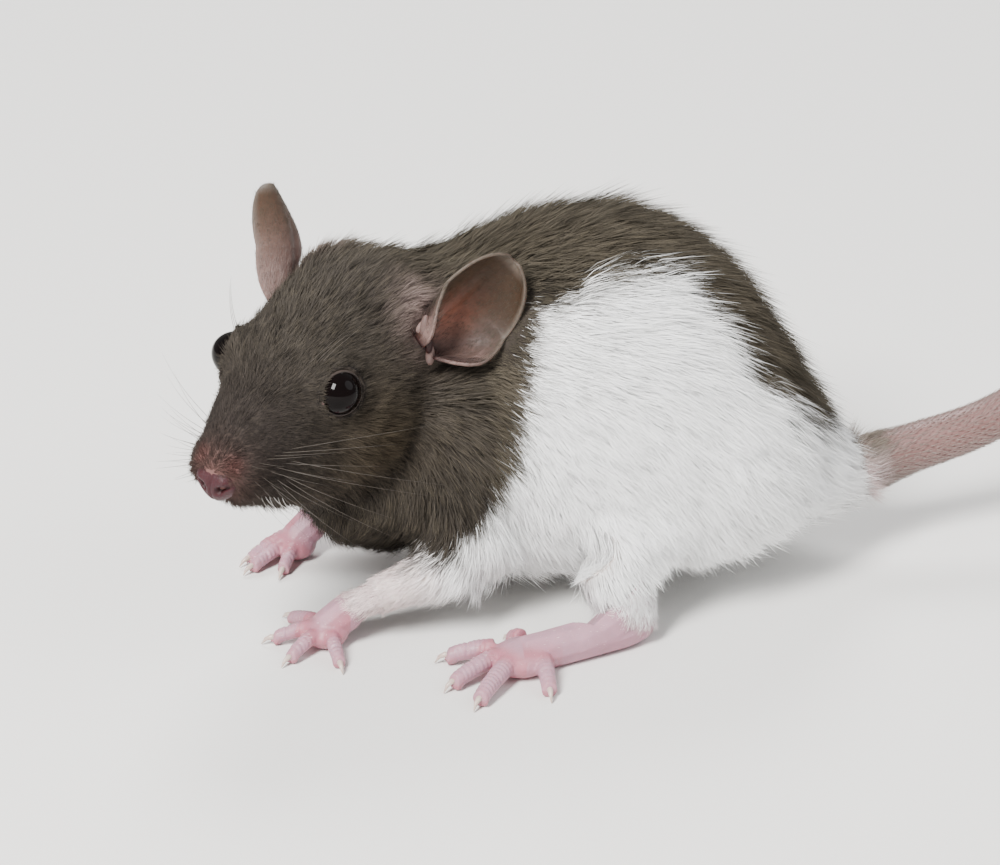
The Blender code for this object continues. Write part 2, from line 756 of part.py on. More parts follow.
def build():
    clear_scene()
    rat = collection("pet_rat")
    head = head_frame()
    body = body_clay(rat)
    soften(body, softness, 60)
    thin_out(body, BODY_TRIANGLES, fineness)
    on_floor(body, rat)
    skin = grown(body, GAP, rat)

    nodes = part_limbs(body, rat)
    nodes.update(part_head(body, rat))
    finish_face(nodes["head"], rat)
    body.name = "torso"
    nodes["torso"] = body

    for side, sign in (("left", 1.0), ("right", -1.0)):
        ankle = side_of(ANKLE, side)
        knee = side_of(KNEE, side)
        foot = hind_foot(f"hind_foot_{side}", HIND_FOOT, ankle, knee, sign, rat)
        square_off(nodes[f"shank_{side}"], foot, middle_of(ankle, knee, 0.3), ankle, rat)
        nodes[f"hind_foot_{side}"] = foot
        elbow = ARMS[side]["elbow"]
        wrist = ARMS[side]["wrist"]
        foot = fore_foot(f"forefoot_{side}", FORE_FEET[side], wrist, elbow, rat)
        square_off(nodes[f"forearm_{side}"], foot, middle_of(wrist, elbow, 0.12), wrist, rat)
        nodes[f"forefoot_{side}"] = foot
        pinna = ear(side, sign, rat)
        cut(pinna, copy_of(skin, "skin"), "DIFFERENCE")
        keep_largest(pinna)
        nodes[f"ear_{side}"] = pinna
        eye = ball((0.0, 0.0, 0.0), (EYE_RADIUS,) * 3, rat, eye_frame(sign), fineness=3)
        eye.name = f"eye_{side}"
        nodes[f"eye_{side}"] = eye
    bpy.data.objects.remove(skin, do_unlink=True)

    tail = tail_pieces(rat)
    square_off(nodes["torso"], tail[0], TAIL[0], tail_line(0.02), rat)
    for piece in tail:
        nodes[piece.name] = piece

    finishes = {name: material(name, colour, roughness) for name, (colour, roughness) in FINISHES.items()}
    for name, node in nodes.items():
        node.data.materials.clear()
        node.data.materials.append(finishes[finish_of(name)])
        node.data.shade_smooth()
    to_origin(list(nodes.values()))


def finish_of(name):
    if name in ("head", "neck"):
        return "hood_coat"
    if name.startswith("eye"):
        return "eye"
    if name.startswith("tail"):
        return "tail_skin"
    if name.startswith(("ear", "hind_foot", "forefoot")):
        return "bare_skin"
    return "white_coat"


build()
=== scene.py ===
"""How a young hooded pet rat looks: its skin, coat, face, ears, feet and scaly tail.

The rat faces -X with its left side towards -Y, and stands on the floor at Z = 0. Sizes are in
millimetres where a name says so or MM follows, and everything else is in metres.
"""

import math

import bmesh
import bpy
import numpy as np
from mathutils import Matrix, Vector
from mathutils.kdtree import KDTree


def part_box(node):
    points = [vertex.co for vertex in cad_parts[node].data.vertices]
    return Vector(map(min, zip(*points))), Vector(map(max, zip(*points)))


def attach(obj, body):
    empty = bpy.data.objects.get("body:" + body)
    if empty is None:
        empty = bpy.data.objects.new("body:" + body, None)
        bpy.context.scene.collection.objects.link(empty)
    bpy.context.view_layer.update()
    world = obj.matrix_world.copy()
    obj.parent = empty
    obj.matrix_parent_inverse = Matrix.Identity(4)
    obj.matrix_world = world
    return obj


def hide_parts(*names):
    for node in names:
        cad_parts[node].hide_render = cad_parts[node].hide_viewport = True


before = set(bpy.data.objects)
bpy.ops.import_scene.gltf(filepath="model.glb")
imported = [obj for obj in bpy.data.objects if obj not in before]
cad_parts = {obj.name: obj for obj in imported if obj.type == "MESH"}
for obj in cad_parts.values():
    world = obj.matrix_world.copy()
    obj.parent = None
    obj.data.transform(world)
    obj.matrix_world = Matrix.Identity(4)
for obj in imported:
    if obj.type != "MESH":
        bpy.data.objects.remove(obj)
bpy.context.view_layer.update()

# The studio: a pale sheet of board under the model, a tall soft lamp like a window at the upper left,
# weaker round ones at the right and behind, and light from all round. The camera stands a little in
# front of the rat's left side and looks down on it at a low angle.
MM = 0.001
STAGE_SIZE = 3.0
STAGE_COLOUR = (0.80, 0.79, 0.77, 1.0)
CAMERA_TURN = math.radians(8.0)
CAMERA_RISE = math.radians(25.0)
CAMERA_DISTANCE = 0.490
CAMERA_LENS = 115.0
CAMERA_SENSOR = 36.0
CAMERA_NEAR = 0.01
LOOK_FROM_EYE = Vector((26.86, 24.25, -19.37)) * MM
# Each lamp's place from the point looked at, its width and height, its power and its colour
LAMPS = [
    ((-0.50, -0.62, 0.85), (0.26, 0.55), 35.0, (1.0, 0.985, 0.96)),
    ((0.85, -0.30, 0.75), (0.90, 0.90), 5.0, (0.95, 0.97, 1.0)),
    ((0.10, 0.90, 0.95), (0.60, 0.60), 14.0, (1.0, 1.0, 1.0)),
]
WORLD_LIGHT = 0.50


def middle_of(node):
    low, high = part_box(node)
    return (low + high) / 2


def aimed(direction):
    """The turn that points a camera or lamp along a direction."""
    return Vector(direction).to_track_quat("-Z", "Y").to_euler()


def shown(name, data):
    """A new object in the scene, from a mesh, a lamp or a camera."""
    obj = bpy.data.objects.new(name, data)
    bpy.context.scene.collection.objects.link(obj)
    return obj


look_at = middle_of("eye_left") + LOOK_FROM_EYE
back = Vector(
    (
        -math.sin(CAMERA_TURN) * math.cos(CAMERA_RISE),
        -math.cos(CAMERA_TURN) * math.cos(CAMERA_RISE),
        math.sin(CAMERA_RISE),
    )
)
camera = shown("camera", bpy.data.cameras.new("camera"))
camera.data.lens = CAMERA_LENS
camera.data.sensor_width = CAMERA_SENSOR
camera.data.clip_start = CAMERA_NEAR
camera.location = look_at + back * CAMERA_DISTANCE
camera.rotation_euler = aimed(-back)
bpy.context.scene.camera = camera

for number, (place, (width, height), power, colour) in enumerate(LAMPS):
    lamp = bpy.data.lights.new(f"lamp_{number + 1}", "AREA")
    lamp.shape = "RECTANGLE" if width < height else "ELLIPSE"
    lamp.size = width
    lamp.size_y = height
    lamp.energy = power
    lamp.color = colour
    stand = shown(lamp.name, lamp)
    stand.location = look_at + Vector(place)
    stand.rotation_euler = aimed(-Vector(place))

world = bpy.data.worlds.new("studio")
world.use_nodes = True
background = world.node_tree.nodes["Background"]
background.inputs["Color"].default_value = (1.0, 1.0, 1.0, 1.0)
background.inputs["Strength"].default_value = WORLD_LIGHT
bpy.context.scene.world = world


class Value:
    """A socket of a material that takes part in Python expressions."""

    def __init__(self, finish, socket):
        self.finish = finish
        self.socket = socket

    def maths(self, operation, *terms):
        return self.finish.node("ShaderNodeMath", {"operation": operation}, dict(enumerate(terms)))

    def __add__(self, other):
        return self.maths("ADD", self, other)

    __radd__ = __add__

    def __mul__(self, other):
        return self.maths("MULTIPLY", self, other)

    __rmul__ = __mul__


class Finish:
    """A material, with its Principled shader and the nodes that feed it."""

    def __init__(self, name, roughness, fixed=None):
        self.material = bpy.data.materials.new(name)
        self.material.use_nodes = True
        self.tree = self.material.node_tree
        self.shader = self.tree.nodes["Principled BSDF"]
        self.feed("Roughness", roughness)
        for socket, amount in (fixed or {}).items():
            self.shader.inputs[socket].default_value = amount

    def put(self, socket, value):
        if isinstance(value, Value):
            self.tree.links.new(value.socket, socket)
        else:
            socket.default_value = value

    def feed(self, name, value):
        self.put(self.shader.inputs[name], value)

    def node(self, kind, settings=None, values=None, output=0):
        """One node: its type, its settings, and what its sockets hold or take."""
        made = self.tree.nodes.new(kind)
        for name, setting in (settings or {}).items():
            setattr(made, name, setting)
        for name, value in (values or {}).items():
            self.put(made.inputs[name], value)
        return Value(self, made.outputs[output])

    def place(self):
        return self.node("ShaderNodeTexCoord", output="Object")

    def kept_tint(self):
        """The colours that write_colours left on the mesh."""
        return self.node("ShaderNodeAttribute", {"attribute_name": "tint"}, output="Color")

    def noise(self, scale):
        values = {"Vector": self.place(), "Scale": scale, "Detail": 3.0}
        return self.node("ShaderNodeTexNoise", values=values, output="Fac")

    def blend(self, share, one, other):
        """Two colours mixed by a share."""
        made = self.tree.nodes.new("ShaderNodeMix")
        made.data_type = "RGBA"
        for name, value in (("Factor", share), ("A", one), ("B", other)):
            socket = [s for s in made.inputs if s.name == name and s.enabled][0]
            self.put(socket, (*value, 1.0) if isinstance(value, tuple) else value)
        return Value(self, [s for s in made.outputs if s.enabled][0])

    def cloudy(self, scale, one, other):
        """Base colour from two colours in a cloudy mix."""
        self.feed("Base Color", self.blend(self.noise(scale), one, other))

    def lit(self, light):
        """Base colour from the colours kept on the mesh, times a grey level."""
        level = self.node("ShaderNodeCombineXYZ", values={0: light, 1: light, 2: light})
        factors = {0: self.kept_tint(), 1: level}
        self.feed("Base Color", self.node("ShaderNodeVectorMath", {"operation": "MULTIPLY"}, factors))

    def bump(self, height, distance):
        values = {"Height": height, "Distance": distance, "Strength": 1.0}
        self.feed("Normal", self.node("ShaderNodeBump", values=values))


board = bpy.data.meshes.new("board")
half = STAGE_SIZE / 2
board_corners = [(-half, -half, 0), (half, -half, 0), (half, half, 0), (-half, half, 0)]
board.from_pydata(board_corners, [], [(0, 1, 2, 3)])
stage = shown("stage_floor", board)
pale_board = Finish("pale_board", 0.85)
pale_board.feed("Base Color", STAGE_COLOUR)
board.materials.append(pale_board.material)


# The skin: one closed hide over head, neck, trunk and limbs. It is the flesh solids fused together,
# smoothed, and drawn in by the depth of the coat that stands on it. The coat's lie, length and lift
# are written once here, as guides: places on the body and what the hair does there.
FLESH = ["head", "neck", "torso"]
for limb in ("upper_arm", "forearm", "thigh", "shank"):
    FLESH += [f"{limb}_left", f"{limb}_right"]
SKIN_CELL = 0.55 * MM
FUSE_GROWTH = 0.3 * MM
SKIN_PASSES = 40  # of smoothing, with this share of them kept off the face and the lower limbs
SKIN_KEPT = 0.85
HEAD_YAW = math.radians(50.0)
HEAD_PITCH = math.radians(5.0)
HEAD_ROLL = math.radians(-5.5)
EYE_PLACE = Vector((0.7, 9.0, 0.1)) * MM
EYE_LOOK = Vector((0.40, 0.88, 0.26))
HEAD_REACH = 4.5  # how far a guide on the head, or on the body, is felt, in millimetres
BODY_REACH = 8.0
COAT_SINK = 0.72  # how much of the hair's own height the skin lies below the solids
# Where the skin lies off its solids, in the head's frame: place, reach and push, in millimetres. The
# lower jaw is fuller, the chin lies further back, and flesh rises at the roots of the ears.
SWELLS = [
    ((6.0, 0.0, -17.0), (6.0, 6.0, 4.0), (0.0, 0.0, -1.3)),
    ((14.0, 0.0, -15.5), (4.5, 7.0, 3.0), (-2.4, 0.0, 0.0)),
    ((-16.8, 11.5, 3.0), (5.0, 5.0, 5.0), (0.0, 0.0, 1.9)),
    ((-21.5, -10.8, 5.0), (5.0, 5.0, 5.0), (0.0, -1.1, 2.8)),
]

turn = Matrix.Rotation(math.pi + HEAD_YAW, 4, "Z") @ Matrix.Rotation(HEAD_PITCH, 4, "Y")
turn = turn @ Matrix.Rotation(HEAD_ROLL, 4, "X")
between_eyes = (middle_of("eye_left") + middle_of("eye_right")) / 2
head = Matrix.Translation(between_eyes) @ turn @ Matrix.Translation((-EYE_PLACE.x, 0.0, -EYE_PLACE.z))


def head_spot(place):
    """A place on the head, given in millimetres, in the frame of the whole animal."""
    return head @ (Vector(place) * MM)


def head_way(way):
    """A way on the head in the frame of the whole animal."""
    return head.to_3x3() @ Vector(way)


# Guides on the head, in its own frame: place, way the hair lies, length and lift in degrees
HEAD_COAT = [
    ((17.0, 0.0, -4.0), (-1.0, 0.0, 0.3), 0.8, 20),
    ((12.0, 0.0, 1.0), (-1.0, 0.0, 0.2), 1.5, 18),
    ((14.0, 5.0, -7.0), (-0.9, 0.3, -0.1), 1.0, 20),
    ((12.0, 5.5, -12.0), (-0.8, 0.2, -0.5), 1.2, 24),
    ((14.5, 3.0, -14.0), (-0.4, 0.2, -0.9), 1.6, 36),
    ((11.0, 0.0, -16.0), (-0.6, 0.0, -0.8), 3.0, 34),
    ((5.0, 5.0, -17.5), (-0.8, 0.1, -0.6), 3.8, 32),
    ((5.0, 0.0, 6.0), (-1.0, 0.0, 0.2), 2.3, 20),
    ((-6.0, 0.0, 9.5), (-1.0, 0.0, 0.1), 3.2, 22),
    ((-18.0, 0.0, 9.0), (-1.0, 0.0, -0.2), 4.2, 24),
    ((5.5, 8.5, -1.0), (-0.8, 0.4, -0.3), 1.2, 18),
    ((-1.0, 7.5, 4.5), (-1.0, 0.2, 0.3), 1.9, 20),
    ((1.0, 10.0, -5.5), (-0.9, 0.3, -0.4), 2.2, 20),
    ((-4.0, 10.5, -1.0), (-1.0, 0.3, 0.0), 2.2, 20),
    ((-7.0, 12.5, -8.0), (-0.9, 0.3, -0.4), 3.4, 24),
    ((0.0, 8.0, -16.0), (-0.9, 0.1, -0.4), 3.2, 24),
    ((-6.0, 0.0, -22.0), (-1.0, 0.0, 0.0), 4.2, 24),
    ((-12.0, 12.5, 0.0), (-0.8, 0.4, 0.4), 2.4, 22),
    ((-20.0, 13.0, -2.0), (-1.0, 0.1, -0.3), 4.2, 24),
]
# Guides on the body, for the middle and the left side, in the frame of the whole animal
BODY_COAT = [
    ((-68.0, 0.0, 55.0), (1.0, 0.0, 0.3), 4.6, 23),
    ((-55.0, 0.0, 59.0), (1.0, 0.0, 0.1), 6.0, 24),
    ((-38.0, 0.0, 60.0), (1.0, 0.0, -0.1), 7.0, 25),
    ((-20.0, 0.0, 52.0), (0.85, 0.0, -0.5), 7.6, 27),
    ((-8.0, 0.0, 36.0), (0.7, 0.0, -0.7), 8.0, 28),
    ((0.0, 0.0, 20.0), (1.0, 0.0, -0.25), 5.0, 20),
    ((-48.0, -18.0, 46.0), (1.0, 0.0, -0.35), 6.2, 24),
    ((-40.0, -21.0, 30.0), (0.9, 0.0, -0.45), 6.4, 24),
    ((-28.0, -24.0, 25.0), (0.6, -0.1, -0.8), 6.2, 24),
    ((-42.0, -25.0, 20.0), (0.6, -0.1, -0.8), 5.6, 22),
    ((-49.0, -21.0, 13.0), (0.6, -0.1, -0.8), 5.0, 22),
    ((-12.0, -17.0, 26.0), (0.7, -0.1, -0.7), 7.4, 27),
    ((-10.0, -8.0, 9.0), (0.95, 0.0, -0.3), 6.0, 24),
    ((-41.0, -26.0, 12.0), (0.3, -0.2, -0.9), 4.6, 24),
    ((-37.0, -24.5, 6.0), (0.2, -0.1, -0.95), 3.4, 24),
    ((-62.0, -19.0, 32.0), (0.8, 0.0, -0.6), 5.2, 24),
    ((-62.0, -21.0, 20.0), (0.2, -0.1, -0.95), 4.4, 24),
    ((-64.0, -18.0, 12.0), (-0.8, 0.0, -0.6), 3.0, 20),
    ((-70.0, -18.5, 9.5), (-0.95, 0.0, -0.3), 2.7, 18),
    ((-77.0, -19.0, 7.0), (-0.95, 0.0, -0.3), 2.5, 14),
    ((-84.0, -5.0, 22.0), (0.3, 0.0, -0.95), 4.6, 24),
    ((-75.0, 0.0, 9.0), (0.95, 0.0, -0.3), 5.0, 24),
    ((-45.0, 0.0, 4.0), (1.0, 0.0, -0.1), 6.0, 22),
    ((-52.0, -15.0, 8.0), (0.8, -0.1, -0.6), 6.0, 22),
]


def mirrored(guides):
    """The guides, and for those off the middle their match on the other side."""
    return guides + [((x, -y, z), (a, -b, c), *rest) for (x, y, z), (a, b, c), *rest in guides if y != 0.0]


def unit(rows):
    return rows / np.maximum(np.linalg.norm(rows, axis=-1, keepdims=True), 1e-12)


def coat_guides():
    """All guides in the frame of the whole animal, as rows of place, way, length, lift and reach."""
    rows = []
    for place, way, length, lift in mirrored(HEAD_COAT):
        rows.append((*head_spot(place), *head_way(way), length, lift, HEAD_REACH))
    for place, way, length, lift in mirrored(BODY_COAT):
        rows.append((*(Vector(place) * MM), *way, length, lift, BODY_REACH))
    return np.array(rows)


GUIDES = coat_guides()


def coat_at(spots):
    """The way the hair lies, its length in metres and its lift in radians, at each of many places."""
    apart = ((spots[:, None, :] - GUIDES[None, :, :3]) ** 2).sum(axis=2)
    share = np.exp(-apart / (2 * (GUIDES[:, 8] * MM) ** 2)) / GUIDES[:, 8]
    share += 1e-12 / (apart + 1e-9)
    share /= share.sum(axis=1, keepdims=True)
    return unit(share @ GUIDES[:, 3:6]), share @ GUIDES[:, 6] * MM, np.radians(share @ GUIDES[:, 7])


def head_rows(spots):
    """Places in the head's own frame, in millimetres."""
    back_to_head = np.array(head.inverted())
    return (spots @ back_to_head[:3, :3].T + back_to_head[:3, 3]) / MM


def near(rows, place, reach):
    """1 at a place in the head's frame, falling off softly over a reach in millimetres."""
    return np.exp(-(((rows - np.array(place)) / np.array(reach)) ** 2).sum(axis=1))


def fused(name, nodes, cell, growth):
    """One closed skin round several solids, each grown enough to close the cuts between them."""
    shape = bmesh.new()
    for node in nodes:
        single = bmesh.new()
        single.from_mesh(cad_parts[node].data)
        bmesh.ops.remove_doubles(single, verts=single.verts, dist=0.005 * MM)
        single.normal_update()
        for vert in single.verts:
            vert.co += vert.normal * growth
        scratch = bpy.data.meshes.new("scratch")
        single.to_mesh(scratch)
        single.free()
        shape.from_mesh(scratch)
        bpy.data.meshes.remove(scratch)
    obj = placed(name, shape)
    remesh = obj.modifiers.new("Fuse", "REMESH")
    remesh.mode = "VOXEL"
    remesh.voxel_size = cell
    return settled(obj)


def placed(name, shape):
    """A shape as a new object in the scene."""
    mesh = bpy.data.meshes.new(name)
    shape.to_mesh(mesh)
    shape.free()
    return shown(name, mesh)


def rounded(name, shape):
    """A shape as a new object with its faces turned outwards and shaded smoothly."""
    shape.normal_update()
    bmesh.ops.recalc_face_normals(shape, faces=shape.faces)
    obj = placed(name, shape)
    obj.data.shade_smooth()
    return obj


def settled(obj):
    """The object with its modifiers worked into its mesh."""
    graph = bpy.context.evaluated_depsgraph_get()
    mesh = bpy.data.meshes.new_from_object(obj.evaluated_get(graph))
    obj.modifiers.clear()
    obj.data = mesh
    return obj


def soften(obj, passes, weights=None):
    smooth = obj.modifiers.new("Soften", "SMOOTH")
    smooth.factor = 0.5
    smooth.iterations = passes
    if weights is not None:
        group = obj.vertex_groups.new(name="soft")
        for index, weight in enumerate(weights.tolist()):
            group.add([index], weight, "REPLACE")
        smooth.vertex_group = "soft"
    settled(obj)
    obj.vertex_groups.clear()


def keep_largest(obj):
    """Drop every loose scrap of a mesh but its largest part."""
    shape = bmesh.new()
    shape.from_mesh(obj.data)
    left = set(shape.verts)
    best = []
    while left:
        island = [left.pop()]
        for vert in island:
            for edge in vert.link_edges:
                other = edge.other_vert(vert)
                if other in left:
                    left.remove(other)
                    island.append(other)
        if len(island) > len(best):
            best = island
    kept = set(best)
    bmesh.ops.delete(shape, geom=[v for v in shape.verts if v not in kept], context="VERTS")
    shape.to_mesh(obj.data)
    shape.free()


def corners_of(mesh):
    spots = np.empty(len(mesh.vertices) * 3)
    mesh.vertices.foreach_get("co", spots)
    return spots.reshape(-1, 3)


def normals_of(mesh):
    ways = np.empty(len(mesh.vertices) * 3)
    mesh.vertex_normals.foreach_get("vector", ways)
    return ways.reshape(-1, 3)


def reshape(mesh, spots):
    mesh.vertices.foreach_set("co", spots.ravel())
    mesh.update()


def ramp(values, low, high):
    """0 below low, 1 above high, and a smooth rise between."""
    share = np.clip((values - low) / (high - low), 0.0, 1.0)
    return share * share * (3 - 2 * share)


skin = fused("skin", FLESH, SKIN_CELL, FUSE_GROWTH)
keep_largest(skin)
spots = corners_of(skin.data)
# The face and the lower limbs keep most of their modelled form
face = ramp(head_rows(spots)[:, 0], -14.0, 2.0) * (spots[:, 0] < -70.0 * MM)
limb = 1.0 - ramp(spots[:, 2] / MM, 5.0, 14.0)
soften(skin, SKIN_PASSES, 1.0 - SKIN_KEPT * np.maximum(face, limb))
spots = corners_of(skin.data)
way, length, lift = coat_at(spots)
spots -= normals_of(skin.data) * (length * np.sin(lift) * COAT_SINK + FUSE_GROWTH)[:, None]
rows = head_rows(spots)
for place, reach, push in SWELLS:
    spots += near(rows, place, reach)[:, None] * np.array(head_way(push)) * MM
reshape(skin.data, spots)
soften(skin, 2)
skin.data.shade_smooth()

# The markings: a grey-brown hood over head and shoulders that runs on as a band along the back to
# the tail, and white sides, belly and legs. Skin and hair ask the same function for them.
AXIS_HEIGHT = 22.0 * MM
CHEST_FLOOR = 6.5
ELBOW_FLOOR = 12.5
FAR_ARM_CLOSER = 8.5  # the far forelimb stands this much nearer to the middle than the near one
# The hood's rear edge as height and place along the body, and the band's reach down each side as
# place along the body and degrees from straight up
HOOD_EDGE = [(0, -67.0), (14, -63.5), (20, -57.5), (28, -53.5), (37, -51.0), (46, -50.0), (62, -49.0)]
BAND_REACH = [(-60, 22), (-44, 24), (-36, 20), (-28, 20), (-22, 32), (-18, 50), (-12, 62), (-4, 70), (3, 60)]


def between(table, along):
    """A value read off a few named pairs."""
    return np.interp(along, [pair[0] for pair in table], [pair[1] for pair in table])


def waves(spots, pitch, seed):
    """A soft, cloudy field about -1 to 1, made of a few crossing waves of about one pitch."""
    draw = np.random.default_rng(seed)
    total = np.zeros(len(spots))
    for octave in range(4):
        ways = unit(draw.normal(size=(5, 3))) * (2 * math.pi / (pitch / 1.7**octave))
        total += np.sin(spots @ ways.T + draw.uniform(0, 2 * math.pi, 5)).sum(axis=1) / 5 * 0.8**octave
    return total


def darkness(spots):
    """How far a place lies inside the dark markings, in millimetres; below 0 it is white."""
    x, y, z = (spots / MM).T
    ragged = waves(spots, 16 * MM, 5) * 0.9 + waves(spots, 6 * MM, 6) * 0.8
    hood = between(HOOD_EDGE, z) - x
    around = np.degrees(np.arctan2(np.abs(y), z - AXIS_HEIGHT / MM))
    out = np.hypot(y, z - AXIS_HEIGHT / MM)
    band = np.radians(between(BAND_REACH, x) - around) * out
    outer = np.where(y > 0, y + FAR_ARM_CLOSER, -y)
    floor = z - CHEST_FLOOR - (ELBOW_FLOOR - CHEST_FLOOR) * ramp(outer, 15.5, 18.5)
    return np.maximum(np.minimum(hood, floor), band) + ragged


DARK_SKIN = np.array((0.040, 0.033, 0.028))
PALE_SKIN = np.array((0.74, 0.66, 0.62))
ROSY_SKIN = np.array((0.24, 0.115, 0.105))  # what shows through the sparse hair of muzzle and ear roots


def mixed(one, other, share):
    """One value or colour that turns into another as the share goes from 0 to 1."""
    return one * (1 - share) + other * share


def write_colours(mesh, colours):
    """Colours, or one for all, kept on a mesh's corners for its material to read."""
    layer = mesh.color_attributes.new("tint", "FLOAT_COLOR", "POINT")
    full = np.ones((len(mesh.vertices), 4), dtype=np.float32)
    full[:, :3] = colours
    layer.data.foreach_set("color", full.ravel())


NOSE_PLACE = (17.0, 0.0, -9.3)
# Where the hair is so thin that pink skin shows: places on the head, reaches and strengths
ROSY_PLACES = [
    (NOSE_PLACE, 3.9, 0.85),
    ((17.4, 2.2, -6.6), 1.8, 0.85),
    ((17.4, -2.2, -6.6), 1.8, 0.85),
    ((-17.2, 11.4, 4.0), 4.7, 1.15),
    ((-21.5, -12.6, 7.4), 4.4, 1.15),
]
ROSY_MOST = 0.92


def rosy(spots):
    """How bare and pink the skin is: on the muzzle's tip, over the nostrils and before the ears."""
    rows = head_rows(spots)
    shares = [strength * near(rows, place, reach) for place, reach, strength in ROSY_PLACES]
    return np.minimum(np.max(shares, axis=0), ROSY_MOST)


dark = ramp(darkness(spots), -1.0, 1.0)[:, None]
pink = rosy(spots)[:, None]
write_colours(skin.data, mixed(mixed(PALE_SKIN, DARK_SKIN, dark), ROSY_SKIN, pink))
hide = Finish("hide", 0.8, {"Specular IOR Level": 0.05})
mottle = hide.noise(700.0)
hide.lit(0.8 + 0.4 * mottle)
hide.bump(mottle, 0.15 * MM)


def finished(obj, finish, slot, *nodes):
    """Give a piece its material, hang it from the frame's root, and hide the solids it takes the place of.
    """
    obj.data.materials.clear()
    obj.data.materials.append(finish.material)
    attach(obj, "root")
    if nodes:
        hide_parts(*nodes)
    return obj


finished(skin, hide, "white_coat", *FLESH)


# The eyes: two wet, black beads that stand well out of the head, each with a slightly swollen
# window in front. Thin, dark, bare lids close round them and draw out to a corner towards the nose,
# where a scrap of moist pink flesh fills the corner.
SIDES = (("left", 1.0), ("right", -1.0))
EYE_RADIUS = 3.4 * MM
WINDOW_START = 0.55  # how far along the look, in radii, the swollen window begins
WINDOW_SWELL = 0.035
# The lids' rings from the edge outwards: degrees from the look, and millimetres above the ball
LID_STEPS = [(68, -0.10), (69, 0.06), (71, 0.15), (75, 0.17), (82, 0.10), (93, -0.15), (106, -0.60)]
LID_SIDES = 96
LID_WALL = 0.10 * MM
FRONT_CORNER = 11.0  # degrees by which the lids draw out to each corner, and close in above and below
REAR_CORNER = 4.0
LID_CLOSING = 2.5
FLESH_ANGLE = math.radians(72.0)
FLESH_RADII = (0.45, 0.32, 0.30)
eye_ink = Finish("eye_ink", 0.03, {"Specular IOR Level": 0.09})
eye_ink.cloudy(260.0, (0.001, 0.001, 0.001), (0.004, 0.002, 0.002))
lid_skin = Finish("lid_skin", 0.45, {"Specular IOR Level": 0.15})
crease = lid_skin.noise(1800.0)
lid_skin.lit(0.7 + 0.6 * crease)
lid_skin.bump(crease, 0.05 * MM)
moist_flesh = Finish("moist_flesh", 0.12)
moist_flesh.cloudy(1200.0, (0.10, 0.035, 0.04), (0.24, 0.11, 0.12))
LID_EDGE = np.array((0.008, 0.006, 0.006))
LID_OUTER = np.array((0.075, 0.058, 0.050))


def on_side(place, sign):
    """A place or way on the left, as it is on that side or the other."""
    return Vector((place[0], sign * place[1], place[2]))


def eye_turn(sign):
    """The frame of an eye, with Z along its look and X towards the nose."""
    look = on_side(EYE_LOOK, sign).normalized()
    forward = (Vector((1.0, 0.0, -0.1)) - look * look.x).normalized()
    across = look.cross(forward)
    spin = Matrix((forward, across, look)).transposed().to_4x4()
    return head @ Matrix.Translation(on_side(EYE_PLACE, sign)) @ spin


def on_ball(angle, t, far):
    """A place at an angle from the look and turned by t round it."""
    return Vector((math.sin(angle) * math.cos(t), math.sin(angle) * math.sin(t), math.cos(angle))) * far


def bridge(shape, low, high, count):
    """Faces between two rows of corners, run on from the last corner to the first if they are rings."""
    for k in range(count):
        after = (k + 1) % len(low)
        shape.faces.new((low[k], low[after], high[after], high[k]))


def ring_mesh(name, rings, closed):
    """A tube-like mesh through rings of equally many corners, open or closed at both ends."""
    shape = bmesh.new()
    grid = [[shape.verts.new(spot) for spot in ring] for ring in rings]
    for low, high in zip(grid, grid[1:]):
        bridge(shape, low, high, len(low))
    if closed:
        shape.faces.new(grid[0][::-1])
        shape.faces.new(grid[-1])
    return rounded(name, shape)


def ellipsoid(name, into, place, radii, fineness=4):
    """A smooth egg shape at a place in a frame; place and radii are in millimetres."""
    shape = bmesh.new()
    bmesh.ops.create_icosphere(shape, subdivisions=fineness, radius=1.0)
    sized = Matrix.Diagonal((*[r * MM for r in radii], 1.0))
    stand = into @ Matrix.Translation(Vector(place) * MM) @ sized
    bmesh.ops.transform(shape, matrix=stand, verts=shape.verts)
    return rounded(name, shape)


for side, sign in SIDES:
    into = eye_turn(sign)
    shape = bmesh.new()
    bmesh.ops.create_uvsphere(shape, u_segments=64, v_segments=40, radius=EYE_RADIUS)
    for vert in shape.verts:
        rise = max(vert.co.z / EYE_RADIUS - WINDOW_START, 0.0) / (1 - WINDOW_START)
        vert.co *= 1.0 + WINDOW_SWELL * rise * rise
    bmesh.ops.transform(shape, matrix=into, verts=shape.verts)
    finished(rounded(f"eyeball_{side}", shape), eye_ink, "eye", f"eye_{side}")
    rings = []
    tints = []
    for step, (out, lifted) in enumerate(LID_STEPS):
        ring = []
        for k in range(LID_SIDES):
            t = 2 * math.pi * k / LID_SIDES
            front = max(math.cos(t), 0.0) ** 18
            rear = max(-math.cos(t), 0.0) ** 10
            angle = out + FRONT_CORNER * front + REAR_CORNER * rear - LID_CLOSING * abs(math.sin(t))
            ring.append(into @ on_ball(math.radians(angle), t, EYE_RADIUS + lifted * MM))
            tints.append(mixed(LID_EDGE, LID_OUTER, min(step / 4.0, 1.0)))
        rings.append(ring)
    lids = ring_mesh(f"eyelids_{side}", rings, False)
    write_colours(lids.data, tints)
    lids.modifiers.new("Wall", "SOLIDIFY").thickness = LID_WALL
    finished(settled(lids), lid_skin, "bare_skin")
    corner = into @ Matrix.Translation(on_ball(FLESH_ANGLE, 0.0, EYE_RADIUS - 0.1 * MM))
    flesh = ellipsoid(f"eye_corner_{side}", corner, (0.0, 0.0, 0.0), FLESH_RADII, 3)
    finished(flesh, moist_flesh, "bare_skin")


